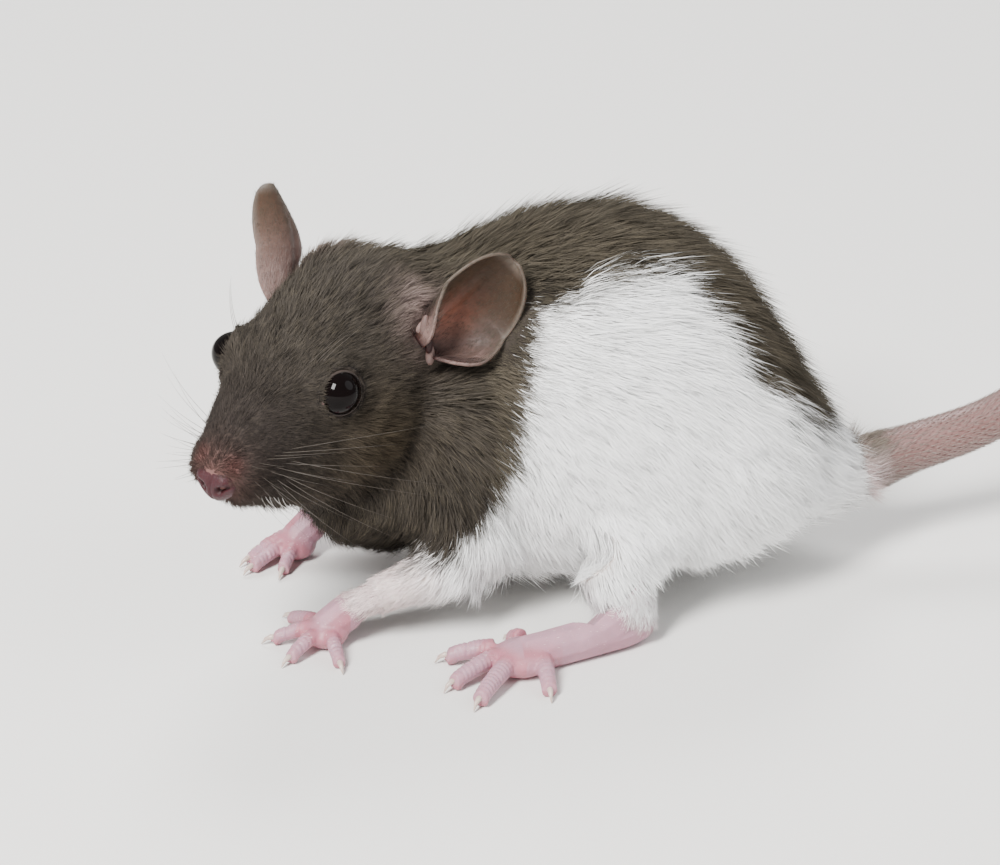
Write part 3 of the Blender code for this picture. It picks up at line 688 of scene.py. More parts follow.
# The nose: a small, bare, pink-red pad on the tip of the muzzle, moist and finely pitted, with a
# comma-shaped nostril at each side, wings of flesh over them, and a groove down to the upper lip.
NOSE_SIZE = (2.6, 3.7, 3.5)
NOSE_PINK = np.array((0.043, 0.0125, 0.0160))
NOSE_PALE = np.array((0.047, 0.0180, 0.0200))
# Painted shade in the nostrils' hollows, a near-black red
NOSTRIL_SHADE = np.array((0.010, 0.001, 0.001))


def bell(value, middle, reach):
    """1 where a value is at the middle, falling off softly on both sides."""
    return math.exp(-(((value - middle) / reach) ** 2))


shape = bmesh.new()
bmesh.ops.create_icosphere(shape, subdivisions=5, radius=1.0)
tints = []
for vert in shape.verts:
    a, b, c = vert.co
    above = max(c, 0.0)
    narrow = 1.0 - 0.38 * max(-c, 0.0) - 0.12 * above
    x = NOSE_PLACE[0] + NOSE_SIZE[0] * a - 0.5 * above
    y = NOSE_SIZE[1] * b * narrow
    z = NOSE_PLACE[2] + NOSE_SIZE[2] * c
    out = abs(y)
    up = z - NOSE_PLACE[2]
    pit = bell(out, 1.4, 0.55) * bell(up, 0.35 * (out - 1.4) - 0.55, 0.55)
    comma = bell(out, 2.3, 0.70) * bell(up, 0.5 * (out - 2.3) + 0.05, 0.30)
    groove = bell(y, 0.0, 0.20) * max(min((0.7 - c) / 0.6, 1.0), 0.0)
    wing = bell(out, 1.9, 0.80) * bell(up, 1.05, 0.65)
    x += (0.45 * wing - 1.3 * pit - 0.8 * comma - 0.4 * groove) * max(a, 0.0)
    y += math.copysign(0.30 * wing - 0.45 * comma, y) if out > 0.3 else 0.0
    vert.co = head_spot((x, y, z))
    # The pits and commas of the nostrils are painted dark as shade
    hollow = min(1.15 * max(pit, 0.9 * comma), 1.0)
    tints.append(mixed(mixed(NOSE_PINK, NOSE_PALE, 0.5 * above), NOSTRIL_SHADE, hollow))
nose = rounded("nose_pad", shape)
write_colours(nose.data, tints)
nose_look = {"Specular IOR Level": 0.2, "Subsurface Weight": 0.1, "Subsurface Scale": 0.4 * MM}
nose_skin = Finish("nose_skin", 0.48, nose_look)
cells = {"Vector": nose_skin.place(), "Scale": 4200.0}
pits = nose_skin.node("ShaderNodeTexVoronoi", values=cells, output="Distance")
nose_skin.lit(0.75 + 0.5 * nose_skin.noise(500.0))
nose_skin.bump(pits, 0.05 * MM)
finished(nose, nose_skin, "bare_skin")


# The ears: thin cups of bare, pink-brown skin, nearly a tube at the foot and open towards the tip,
# with a paler rolled rim, an orange-red hollow where light comes through, and a dark canal of painted
# shade behind a small pink flap. Each is turned its own way, because the rat is listening.
EAR_ROWS = 70
EAR_COLUMNS = 70
EAR_THICKNESS = 0.45 * MM
EAR_FOOT_SHARE = 0.30  # the foot's width as a share of the full width
EAR_SWELL = 1.6  # how far the cup swells to the rear and sinks in, and how high its relief stands
EAR_HOLLOW = 2.2
EAR_ROLL = 0.35
EAR_FOLD = 0.7
EAR_RIDGE = 0.35
EAR_CRIMP = 0.12
FLAP_RADII = (0.9, 0.6, 1.7)
# Each ear: the place of its foot, its ways up and out of the opening, its length and half width, the
# degrees that foot and tip wrap round, and how brown, red and pale it is
EARS = {
    "left": {
        "foot": (-17.7, 13.0, 2.6),
        "rise": (-0.708, 0.568, 0.761),
        "open": (0.775, 0.613, -0.10),
        "length": 18.0,
        "half_width": 6.9,
        "foot_wrap": 143.0,
        "tip_wrap": 50.5,
        "brown": 1.0,
        "red": 1.0,
        "pale": 1.0,
        "pale_reach": 0.20,
    },
    "right": {
        "foot": (-17.0, 11.8, 1.4),
        "rise": (-0.358, 0.453, 0.876),
        "open": (0.418, 0.908, -0.05),
        "length": 18.3,
        "half_width": 7.2,
        "foot_wrap": 97.0,
        "tip_wrap": 66.0,
        "brown": 1.5,
        "red": 0.2,
        "pale": 1.3,
        "pale_reach": 0.42,
    },
}
BLOOD_GLOW = (1.0, 0.4, 0.25)
EAR_RIM = np.array((0.085, 0.066, 0.052))
EAR_BROWN = np.array((0.032, 0.0170, 0.0088))
EAR_RED = np.array((0.185, 0.062, 0.038))
EAR_MAUVE = np.array((0.054, 0.034, 0.029))
EAR_PALE = np.array((0.22, 0.145, 0.132))
# Painted shade for the canal at the ear's foot and for the hole in the notch
EAR_CANAL_SHADE = np.array((0.016, 0.004, 0.004))
# The flesh before the left ear, and a dark blob of painted shade in its notch: name, place, radii and colour
EAR_FLESH = [
    # Painted shade: a dark blob where the notch's hole is
    ("ear_notch_left", (-14.4, 14.7, 2.4), (0.7, 0.55, 1.3), EAR_CANAL_SHADE),
    ("ear_fold_left", (-14.7, 13.9, 4.8), (0.9, 0.8, 2.3), EAR_PALE * 0.58),
    ("ear_lobule_left", (-15.0, 14.6, 0.5), (0.75, 0.65, 1.7), EAR_PALE * 0.55),
]


def ear_frame(side, sign):
    """An ear's ways up its middle, out of its opening and towards its rear margin."""
    rise = on_side(EARS[side]["rise"], sign).normalized()
    face = on_side(EARS[side]["open"], sign)
    face = (face - rise * face.dot(rise)).normalized()
    return rise, face, rise.cross(face) * sign


def ear_spot(side, sign, along, across):
    """A place on the cup; along runs 0 to 1 to the tip, across -1 to 1 to the rear margin."""
    ear = EARS[side]
    rise, face, rear = ear_frame(side, sign)
    opened = min(along / 0.5, 1.0)
    rounding = math.sqrt(max(1.0 - max((along - 0.5) / 0.507, 0.0) ** 2, 0.0))
    share = EAR_FOOT_SHARE + (1.0 - EAR_FOOT_SHARE) * math.sin(math.pi / 2 * opened)
    width = ear["half_width"] * share * rounding
    wrap = math.radians(mixed(ear["foot_wrap"], ear["tip_wrap"], opened))
    bow = width / (math.sin(wrap) if wrap < math.pi / 2 else 1.0)
    swell = rear * (EAR_SWELL * math.sin(math.pi * along**0.8))
    middle = on_side(ear["foot"], sign) + rise * (ear["length"] * along - 2.0) + swell
    angle = wrap * across
    hollow = bow * (1 - math.cos(angle)) - EAR_HOLLOW * math.sin(math.pi * along)
    roll = EAR_ROLL * max(abs(across) - 0.86, 0.0) / 0.14 * math.sin(math.pi * min(along, 0.9))
    fold = EAR_FOLD * bell(along, 0.30 + 0.15 * across, 0.07) * bell(across, 0.35, 0.5)
    ridge = EAR_RIDGE * bell(across, -0.2, 0.10) * math.sin(math.pi * min(along / 0.8, 1.0))
    crimp = EAR_CRIMP * math.sin(9.0 * along + 4.0 * across) * bell(along, 0.6, 0.35)
    depth = hollow + roll + fold + ridge + crimp
    return (middle + rear * (bow * math.sin(angle)) + face * depth) * MM


def ear_tint(side, along, across):
    """The skin's colour: brown above, red in the front hollow, mauve behind it, pale at the foot, and
    painted shade at the very bottom where the canal goes down.
    """
    ear = EARS[side]
    red = bell(along, 0.24, 0.29) * bell(across, -0.06, 0.42) * ear["red"]
    mauve = bell(along, 0.33, 0.20) * bell(across, 0.62, 0.34)
    rim = max(min((max(abs(across), (along - 0.1) / 0.9) - 0.90) / 0.07, 1.0), 0.0)
    # Painted shade at the ear's foot, where the canal goes down
    canal_shade = max(1.0 - along / 0.10, 0.0)
    tint = mixed(EAR_BROWN * ear["brown"], EAR_RED, red)
    tint = mixed(mixed(tint, EAR_MAUVE, mauve), EAR_RIM, rim)
    at_edge = side == "right" or abs(across) > 0.78
    pale = bell(along, 0.10, ear["pale_reach"]) * (0.85 if at_edge else 0.25)
    return mixed(mixed(tint, EAR_PALE * ear["pale"], pale), EAR_CANAL_SHADE, canal_shade)


ear_look = {"Specular IOR Level": 0.25, "Subsurface Weight": 0.15, "Subsurface Scale": 0.6 * MM}
ear_look["Subsurface Radius"] = BLOOD_GLOW
ear_skin = Finish("ear_skin", 0.55, ear_look)
grain = ear_skin.noise(1500.0)
ear_skin.lit(0.62 + 0.3 * grain + 0.45 * ear_skin.noise(260.0))
ear_skin.bump(grain, 0.07 * MM)
ears = []
for side, sign in SIDES:
    shape = bmesh.new()
    grid = []
    tints = []
    for i in range(EAR_ROWS):
        along = 1.0 - (1.0 - i / (EAR_ROWS - 1)) ** 1.5
        row = []
        for k in range(EAR_COLUMNS):
            across = 2 * k / (EAR_COLUMNS - 1) - 1
            row.append(shape.verts.new(head @ ear_spot(side, sign, along, across)))
            tints.append(ear_tint(side, along, across))
        grid.append(row)
    for low, high in zip(grid, grid[1:]):
        bridge(shape, low, high, EAR_COLUMNS - 1)
    pinna = rounded(f"pinna_{side}", shape)
    write_colours(pinna.data, tints)
    wall = pinna.modifiers.new("Wall", "SOLIDIFY")
    wall.thickness = EAR_THICKNESS
    wall.offset = 0.0
    settled(pinna).data.shade_smooth()
    ears.append(finished(pinna, ear_skin, "bare_skin", f"ear_{side}"))
    rise, face_way, rear = ear_frame(side, sign)
    stand = Matrix((rear, face_way, rise)).transposed().to_4x4()
    flap_place = ear_spot(side, sign, 0.13, -0.55) + face_way * (0.5 * MM)
    into = head @ Matrix.Translation(flap_place) @ stand
    flap = ellipsoid(f"ear_flap_{side}", into, (0.0, 0.0, 0.0), FLAP_RADII)
    write_colours(flap.data, EAR_PALE * 0.8)
    finished(flap, ear_skin, "bare_skin")
for name, place, radii, tint in EAR_FLESH:
    fold = ellipsoid(name, head, place, radii)
    write_colours(fold.data, tint)
    finished(fold, ear_skin, "bare_skin")


# The whiskers: four rows of stiff, springy hairs on each cheek pad, short and fine at the front and
# longest at the back, with a few over the eyes. Each tapers to nothing and bends back and down.
WHISKER_ROWS = 4
WHISKERS_IN_ROW = 6
WHISKER_SIDES = 4
WHISKER_STEPS = 10
WHISKER_ROOT = 0.045  # radii in millimetres at the root, beyond the radius at the tip
BROW_ROOT = 0.035
CHIN_ROOT = 0.055
TIP_RADIUS = 0.006
WHISKER_DROOP = Vector((-0.30, 0.0, -0.12))
BROW_HAIRS = 3
BROW_LENGTH = 8.0
BROW_DROOP = Vector((-0.35, 0.0, -0.1))
CHIN_HAIRS = 6
CHIN_LENGTH = 2.9
CHIN_STEPS = 6
CHIN_DROOP = Vector((-0.4, 0.0, 0.0))
chin_horn = Finish("chin_horn", 0.4)
chin_horn.cloudy(900.0, (0.45, 0.42, 0.39), (0.75, 0.72, 0.69))
whisker_horn = Finish("whisker_horn", 0.4, {"Specular IOR Level": 0.2})
whisker_horn.cloudy(900.0, (0.022, 0.018, 0.015), (0.11, 0.095, 0.08))


def tubes_mesh(name, tubes, sides):
    """Tapered tubes, each a list of places and of radii, joined in one mesh."""
    shape = bmesh.new()
    for places, radii in tubes:
        last = None
        for n, (place, radius) in enumerate(zip(places, radii)):
            ahead = places[min(n + 1, len(places) - 1)] - places[max(n - 1, 0)]
            spin = ahead.to_track_quat("Z", "Y")
            ring = []
            for k in range(sides):
                t = 2 * math.pi * k / sides
                ring.append(shape.verts.new(place + spin @ Vector((math.cos(t), math.sin(t), 0.0)) * radius))
            if last:
                bridge(shape, last, ring, sides)
            else:
                shape.faces.new(ring[::-1])
            last = ring
        shape.faces.new(last)
    return rounded(name, shape)


def springy_hair(start, way, droop, length, thick, steps):
    """The places and radii of a hair on the head, which leaves its root one way and droops another."""
    places = []
    radii = []
    for k in range(steps + 1):
        share = k / steps
        places.append(head_spot(start + way * (length * share) + droop * (length * share**2)))
        radii.append((thick * (1 - share) + TIP_RADIUS) * MM)
    return places, radii


for side, sign in SIDES:
    draw = np.random.default_rng(31 if side == "left" else 32)
    hairs = []
    for row in range(WHISKER_ROWS):
        for number in range(WHISKERS_IN_ROW):
            share = number / (WHISKERS_IN_ROW - 1)
            start = on_side((15.5 - 5.8 * share, 4.2 + 2.2 * share, -6.4 - 1.7 * row + 0.4 * share), sign)
            way = on_side((0.55 - 0.75 * share, 0.85, 0.35 - 0.26 * row), sign)
            way = (way + Vector(draw.normal(size=3)) * 0.07).normalized()
            length = (5.0 + 15.0 * share) * draw.uniform(0.8, 1.1) * (1.0 if side == "left" else 0.8)
            hairs.append(springy_hair(start, way, WHISKER_DROOP, length, WHISKER_ROOT, WHISKER_STEPS))
    for number in range(BROW_HAIRS):
        start = on_side((4.0 - number, 6.2 + 0.6 * number, 5.3), sign)
        way = on_side((-0.2, 0.55, 0.8), sign).normalized()
        hairs.append(springy_hair(start, way, BROW_DROOP, BROW_LENGTH, BROW_ROOT, WHISKER_STEPS))
    finished(tubes_mesh(f"whiskers_{side}", hairs, WHISKER_SIDES), whisker_horn, "hood_coat")
    hairs = []
    for number in range(CHIN_HAIRS):
        start = on_side((12.6 - 0.7 * number, 4.0 + 0.25 * number, -13.2 - 0.35 * number), sign)
        way = on_side((0.10, 0.45, -0.9), sign) + Vector(draw.normal(size=3)) * 0.12
        hairs.append(springy_hair(start, way, CHIN_DROOP, CHIN_LENGTH, CHIN_ROOT, CHIN_STEPS))
    finished(tubes_mesh(f"chin_hairs_{side}", hairs, WHISKER_SIDES), chin_horn, "white_coat")


# The feet: bare and pink, flat on the floor, with long toes that end in soft pads. Rings of fine
# folds cross the toes, and each carries a short, curved, pale claw.
FOOT_CELL = 0.2 * MM
FOOT_PASSES = 7
# Each toe: where its knuckle and its tip stand on the floor, and its radius
HIND_TOES = [
    ((-55.0, -26.6), (-57.2, -22.4), 1.25),
    ((-59.4, -29.4), (-68.2, -28.2), 1.45),
    ((-59.4, -32.0), (-68.0, -37.4), 1.45),
    ((-58.0, -34.4), (-64.4, -43.4), 1.45),
    ((-52.8, -34.2), (-52.9, -42.4), 1.35),
]
FORE_LEFT_TOES = [
    ((-84.8, -17.0), (-89.4, -10.9), 1.15),
    ((-86.0, -19.2), (-93.2, -18.8), 1.2),
    ((-85.6, -21.8), (-90.8, -26.6), 1.2),
    ((-83.0, -22.4), (-82.0, -29.8), 1.15),
]
FORE_RIGHT_TOES = [
    ((-86.4, 12.2), (-93.0, 10.6), 1.15),
    ((-88.2, 10.0), (-94.8, 6.6), 1.2),
    ((-88.0, 8.2), (-94.4, 3.6), 1.2),
    ((-86.4, 7.2), (-89.0, 1.4), 1.15),
]
CLAW_LENGTH = 2.1
# A claw's bends: how far along it, and how high in radii of the toe
CLAW_BENDS = [(0.0, 1.0), (0.9, 1.12), (1.7, 0.85)]
CLAW_RADII = (0.46, 0.44, 0.30, 0.05)
CLAW_TIP_HEIGHT = 0.22
CLAW_SIDES = 12
WRIST_TAPER = 0.3
WRIST_REACH = 2.2 * MM  # how far the wrist runs on into the forearm's skin
HEEL_TRIM = 1.6 * MM  # how much less the bare heel juts than its solid, which has the coat round it
FOLD_PITCH = 0.72
FOLD_DEPTH = 0.05
FOOT_PINK = np.array((0.375, 0.182, 0.235))
FOOT_RED = np.array((0.37, 0.120, 0.150))
FOOT_PALE = np.array((0.405, 0.255, 0.305))
foot_skin = Finish("foot_skin", 0.46, {"Subsurface Weight": 0.12, "Subsurface Scale": 0.5 * MM})
foot_skin.lit(0.8 + 0.4 * foot_skin.noise(420.0))
foot_skin.bump(foot_skin.noise(2600.0), 0.08 * MM)
claw_horn = Finish("claw_horn", 0.3, {"Subsurface Weight": 0.1, "Subsurface Scale": 0.3 * MM})
claw_horn.cloudy(900.0, (0.42, 0.30, 0.26), (0.62, 0.52, 0.46))


def other_side(toes):
    return [((x, -y), (u, -v), radius) for (x, y), (u, v), radius in toes]


# Each foot: its solid and toes, the middle of its joint, how far the coat reaches down over it, and
# the way the coat lies there
FEET = [
    ("hind_foot_left", HIND_TOES, (-35.5, -25.0, 10.0), 4.6, (-0.1, 0.0, -1.0)),
    ("hind_foot_right", other_side(HIND_TOES), (-35.5, 25.0, 10.0), 4.6, (-0.1, 0.0, -1.0)),
    ("forefoot_left", FORE_LEFT_TOES, (-76.0, -19.8, 9.0), 3.2, (-0.9, 0.0, -0.4)),
    ("forefoot_right", FORE_RIGHT_TOES, (-78.6, 12.2, 9.5), 2.8, (-0.9, 0.0, -0.4)),
]


def shaped_foot(node, toes, down):
    """A foot's skin with folds and reddish webs, its claws drawn back to leave room for horn."""
    foot = fused(f"{node}_skin", [node], FOOT_CELL, 0.0)
    soften(foot, FOOT_PASSES)
    spots = corners_of(foot.data)
    if node.startswith("hind"):
        spots[:, 0] -= HEEL_TRIM * ramp(spots[:, 0] / MM, -40.0, -34.0)
    else:
        limb_way = -unit(np.array(down))
        height = spots @ limb_way
        end = height.max()
        middle = spots[height > end - 3 * MM].mean(axis=0)
        beside = spots - middle - np.outer((spots - middle) @ limb_way, limb_way)
        spots -= beside * (WRIST_TAPER * ramp(height, end - 5 * MM, end - 2 * MM))[:, None]
        spots += np.outer(WRIST_REACH * ramp(height, end - 3 * MM, end - 0.5 * MM), limb_way)
    ways = normals_of(foot.data)
    upper = ramp(ways[:, 2], -0.3, 0.4)
    pad = np.zeros(len(spots))
    web = np.zeros(len(spots))
    for knuckle, tip, radius in toes:
        start = np.array((*knuckle, 0.0)) * MM
        reach = np.array((*tip, 0.0)) * MM - start
        length = np.linalg.norm(reach) / MM
        axis = reach / np.linalg.norm(reach)
        along = (spots - start) @ axis / MM
        beside = spots - start - np.outer(along * MM, axis)
        aside = np.hypot(beside[:, 0], beside[:, 1])
        on_toe = (aside < 1.6 * radius * MM) * ramp(along, 0.3, 1.5)
        root = length - CLAW_LENGTH
        folds = np.sin(2 * math.pi * along / FOLD_PITCH) * FOLD_DEPTH * (1 - ramp(along, root - 1.2, root))
        folds -= 0.12 * np.exp(-(((along - 0.45 * length) / 0.25) ** 2))
        spots += ways * (folds * on_toe * upper * MM)[:, None]
        spots -= axis * (np.maximum(along - root, 0.0) * 0.65 * on_toe * MM)[:, None]
        pad = np.maximum(pad, on_toe * ramp(along, root - 1.5, root))
        at_root = np.exp(-(((along - 0.4) / 1.6) ** 2)) * (aside < 3 * MM)
        web = np.maximum(web, at_root)
    reshape(foot.data, spots)
    foot.data.shade_smooth()
    tint = mixed(FOOT_PINK, FOOT_RED, np.maximum(0.7 * web, 0.6 * pad)[:, None])
    write_colours(foot.data, mixed(tint, FOOT_PALE, (0.5 * upper * (1 - web))[:, None]))
    claws = []
    for knuckle, tip, radius in toes:
        end = Vector((*tip, 0.0))
        way = (end - Vector((*knuckle, 0.0))).normalized()
        root = end - way * (CLAW_LENGTH + 0.3)
        places = [root + way * far + Vector((0.0, 0.0, radius * high)) for far, high in CLAW_BENDS]
        places.append(end + Vector((0.0, 0.0, CLAW_TIP_HEIGHT)))
        claws.append(([place * MM for place in places], [r * MM for r in CLAW_RADII]))
    return foot, tubes_mesh(f"{node}_claws", claws, CLAW_SIDES)


feet = []
for node, toes, joint, sleeve, down in FEET:
    foot, horn = shaped_foot(node, toes, down)
    feet.append((finished(foot, foot_skin, "bare_skin", node), joint, sleeve, down))
    finished(horn, claw_horn, "bare_skin")


# The tail: a tapering whip of bare skin, ringed with rows of small scales that overlap towards the
# tip. Three short bristles lie out from under each scale.
TAIL_LINE = [
    (1.8, 0.0, 14.2),
    (9.8, 1.0, 16.2),
    (21.8, 3.0, 18.8),
    (33.8, 6.0, 22.4),
    (45.8, 9.5, 20.8),
    (57.8, 12.6, 14.2),
    (68.8, 14.6, 6.8),
    (79.8, 15.0, 2.3),
    (91.8, 13.4, 1.4),
    (102.6, 9.6, 1.0),
]
TAIL_RADIUS = 4.1
TAIL_TIP_RADIUS = 0.7
TAIL_RINGS = 420
TAIL_SIDES = 40
SCALE_PITCH = 0.82
SCALE_WIDTH = 0.95
BRISTLES_PER_SCALE = 3
BRISTLE_WIDTH = 1.6 * MM  # what the template's thickness is multiplied by
SKIN_SHARE = 0.985  # the bare skin's radius between the scales, as a share of the tail's
TIP_SHARE = 0.6
tail_skin = Finish("tail_bare", 0.5)
tail_skin.cloudy(300.0, (0.105, 0.047, 0.044), (0.165, 0.080, 0.073))
scale_horn = Finish("scale_horn", 0.42)
scale_horn.cloudy(420.0, (0.138, 0.066, 0.060), (0.218, 0.122, 0.110))
bristle_hair = Finish("bristle_hair", 0.5)
bristle_hair.cloudy(800.0, (0.16, 0.12, 0.10), (0.42, 0.36, 0.33))


def tail_point(share):
    """A point of the tail's middle line, by its share of the way to the tip."""
    places = [Vector(place) for place in TAIL_LINE]
    at = min(max(share, 0.0), 1.0) * (len(places) - 1)
    n = min(int(at), len(places) - 2)
    t = at - n
    before = places[n - 1] if n > 0 else places[0] * 2 - places[1]
    after = places[n + 2] if n + 2 < len(places) else places[-1] * 2 - places[-2]
    one = places[n + 1] - before
    two = after - places[n]
    a = places[n] * (2 * t**3 - 3 * t**2 + 1) + one * 0.5 * (t**3 - 2 * t**2 + t)
    return (a + places[n + 1] * (3 * t**2 - 2 * t**3) + two * 0.5 * (t**3 - t**2)) * MM


def tail_radius(share):
    return (TAIL_TIP_RADIUS + (TAIL_RADIUS - TAIL_TIP_RADIUS) * (1 - share) ** 0.8) * MM


def tail_frame(share):
    """The tail's middle point and its ways across, up and along."""
    along = (tail_point(share + 0.004) - tail_point(share - 0.004)).normalized()
    across = along.cross(Vector((0.0, 0.0, 1.0))).normalized()
    return tail_point(share), across, across.cross(along), along


rings = []
for n in range(TAIL_RINGS + 1):
    share = n / TAIL_RINGS
    middle, across, up, along = tail_frame(share)
    radius = tail_radius(share) * (SKIN_SHARE if share < 0.995 else TIP_SHARE)
    ring = []
    for k in range(TAIL_SIDES):
        t = 2 * math.pi * k / TAIL_SIDES
        spot = middle + (across * math.cos(t) + up * math.sin(t)) * radius
        spot.z = max(spot.z, 0.0)
        ring.append(spot)
    rings.append(ring)
tail = ring_mesh("tail_skin", rings, True)
finished(tail, tail_skin, "tail_skin", *[f"tail_{n}" for n in (1, 2, 3, 4)])


def strewn(name, rows, template, finish):
    """Copies of a small template as one mesh, from rows of the place, turn and size of each."""
    spots, turns, sizes = zip(*rows)
    mesh = bpy.data.meshes.new(name)
    mesh.from_pydata([tuple(spot) for spot in spots], [], [])
    for words, values in (("turn", turns), ("size", sizes)):
        layer = mesh.attributes.new(words, "FLOAT_VECTOR", "POINT")
        layer.data.foreach_set("vector", np.array(values, dtype=np.float32).ravel())
    obj = shown(name, mesh)
    tree = bpy.data.node_groups.new(f"{name}_tree", "GeometryNodeTree")
    tree.interface.new_socket("Geometry", in_out="INPUT", socket_type="NodeSocketGeometry")
    given = tree.interface.new_socket("Template", in_out="INPUT", socket_type="NodeSocketObject")
    tree.interface.new_socket("Geometry", in_out="OUTPUT", socket_type="NodeSocketGeometry")
    start = tree.nodes.new("NodeGroupInput")
    pattern = tree.nodes.new("GeometryNodeObjectInfo")
    copies = tree.nodes.new("GeometryNodeInstanceOnPoints")
    solid = tree.nodes.new("GeometryNodeRealizeInstances")
    coat = tree.nodes.new("GeometryNodeSetMaterial")
    end = tree.nodes.new("NodeGroupOutput")
    coat.inputs["Material"].default_value = finish.material
    for one, given_by, other, taken_as in (
        (start, "Geometry", copies, "Points"),
        (start, "Template", pattern, "Object"),
        (pattern, "Geometry", copies, "Instance"),
        (copies, "Instances", solid, "Geometry"),
        (solid, "Geometry", coat, "Geometry"),
        (coat, "Geometry", end, "Geometry"),
    ):
        tree.links.new(one.outputs[given_by], other.inputs[taken_as])
    for words, socket in (("turn", "Rotation"), ("size", "Scale")):
        read = tree.nodes.new("GeometryNodeInputNamedAttribute")
        read.data_type = "FLOAT_VECTOR"
        read.inputs["Name"].default_value = words
        tree.links.new(read.outputs["Attribute"], copies.inputs[socket])
    modifier = obj.modifiers.new("Strew", "NODES")
    modifier.node_group = tree
    modifier[given.identifier] = template
    settled(obj)
    obj.data.shade_smooth()
    bpy.data.objects.remove(template, do_unlink=True)
    return obj


def scale_plate():
    """One scale: a domed plate 1 long and 1 wide, tucked in at the root and free at the tip."""
    shape = bmesh.new()
    grid = []
    for i in range(5):
        row = []
        for k in range(5):
            u = i / 4
            v = k / 2 - 1
            wide = 0.5 * (1.0 - 0.30 * max(u - 0.5, 0.0) * 2 * abs(v))
            height = 0.16 * u - 0.02 - 0.10 * v * v
            row.append(shape.verts.new((u * 1.25 - 0.4 - 0.14 * u * v * v, v * wide, height)))
        grid.append(row)
    for low, high in zip(grid, grid[1:]):
        for k in range(4):
            shape.faces.new((low[k], high[k], high[k + 1], low[k + 1]))
    return placed("scale_plate", shape)


def bristle():
    """One bristle, 1 long: a thin three-sided spike that rises as it runs to its tip."""
    shape = bmesh.new()
    ring, mid = [
        [shape.verts.new((far, thick * math.cos(t), high + thick * math.sin(t))) for t in (0.0, 2.1, 4.2)]
        for far, high, thick in ((0.0, 0.0, 0.022), (0.5, 0.14, 0.016))
    ]
    tip = shape.verts.new((1.0, 0.0, 0.20))
    for k in range(3):
        after = (k + 1) % 3
        shape.faces.new((ring[k], ring[after], mid[after], mid[k]))
        shape.faces.new((mid[k], mid[after], tip))
    shape.faces.new(ring[::-1])
    bmesh.ops.recalc_face_normals(shape, faces=shape.faces)
    return placed("bristle", shape)


draw = np.random.default_rng(77)
whole = sum((tail_point((k + 1) / 200) - tail_point(k / 200)).length for k in range(200)) / MM
plates = []
hairs = []
ring_count = int(whole / SCALE_PITCH)
for n in range(2, ring_count - 1):
    share = n / ring_count
    middle, across, up, along = tail_frame(share)
    radius = tail_radius(share)
    count = max(int(2 * math.pi * radius / (SCALE_WIDTH * MM)), 5)
    small = 0.75 + 0.25 * radius / (TAIL_RADIUS * MM)
    for k in range(count):
        t = 2 * math.pi * (k + 0.5 * (n % 2) + draw.uniform(-0.08, 0.08)) / count
        out = across * math.cos(t) + up * math.sin(t)
        spot = middle + out * radius + along * (draw.uniform(-0.06, 0.06) * MM)
        if spot.z < 0.25 * MM:
            continue
        turn_here = Matrix((along, out.cross(along), out)).transposed()
        width = 2 * math.pi * radius / count / MM
        size = (SCALE_PITCH * MM, width * 0.96 * MM, 0.7 * small * MM)
        plates.append((spot, turn_here.to_euler(), size))
        for _ in range(BRISTLES_PER_SCALE):
            lean = Matrix.Rotation(draw.uniform(-0.35, 0.35), 3, "Z")
            root = spot + out.cross(along) * (draw.uniform(-0.4, 0.4) * width * MM)
            length = draw.uniform(1.0, 1.5) * (1.0 + 1.2 * max(0.12 - share, 0.0) / 0.12)
            hairs.append((root, (turn_here @ lean).to_euler(), (length * MM, BRISTLE_WIDTH, length * MM)))
finished(strewn("tail_scales", plates, scale_plate(), scale_horn), scale_horn, "tail_skin")
finished(strewn("tail_bristles", hairs, bristle(), bristle_hair), bristle_hair, "tail_skin")


# The coat: many thousand thin, tapered tufts in joined meshes. Each stands on the skin, leans the
# way its guides say, bends back towards the body, and is drawn together with its neighbours. A few
# longer guard hairs stand out from the rest.
HAIRS_PER_PIECE = 64000
THIN = 1
SEEN_SHARE = 0.65  # how far along a hair the part lies that is not hidden by the next
GUARD_SHARE = 0.07
# How many hairs make a clump on the head, on the body and on a bare piece, and how far they gather
HEAD_CLUMP = 25
BODY_CLUMP = 32
FINE_CLUMP = 12
COAT_GATHER = 0.25
FINE_GATHER = 0.15
# How far hairs turn from their guides, in radians: in slow swirls, each by itself and clump by clump
SWIRL = 0.16
HAIR_STRAY = 0.13
CLUMP_STRAY = 0.10
# How much their lift and their length vary, in shares of what the guides say, and guard hairs' more
SWIRL_LIFT = 0.20
HAIR_LIFT = 0.15
CLUMP_LIFT = 0.22
GUARD_LIFT = 0.22
HAIR_LENGTH = 0.12
CLUMP_LENGTH = 0.12
GUARD_LENGTH = 0.22
FIRST_BEND = 1.30  # the lift of a hair's lower and upper half, in shares of its guide's lift
SECOND_BEND = 0.55
BEND_PULL = 0.4  # how much of a tip's pull to its clump the bend half way takes part in
ROOT_DEPTH = 0.10 * MM
FLOOR_GAP = 0.1 * MM
BRIGHTEST = 0.97
PATCH = 0.0015  # half of a tuft's patch on the OFBake map
SLATE = np.array((0.016, 0.0145, 0.014))
HOOD_BROWN = np.array((0.0475, 0.0410, 0.0345))
BACK_BROWN = np.array((0.062, 0.0532, 0.0405))
# Olive-brown on the cheeks: partly their own tone, and partly darkened as painted shade
CHEEK_OLIVE_SHADE = np.array((0.043, 0.0335, 0.0230))
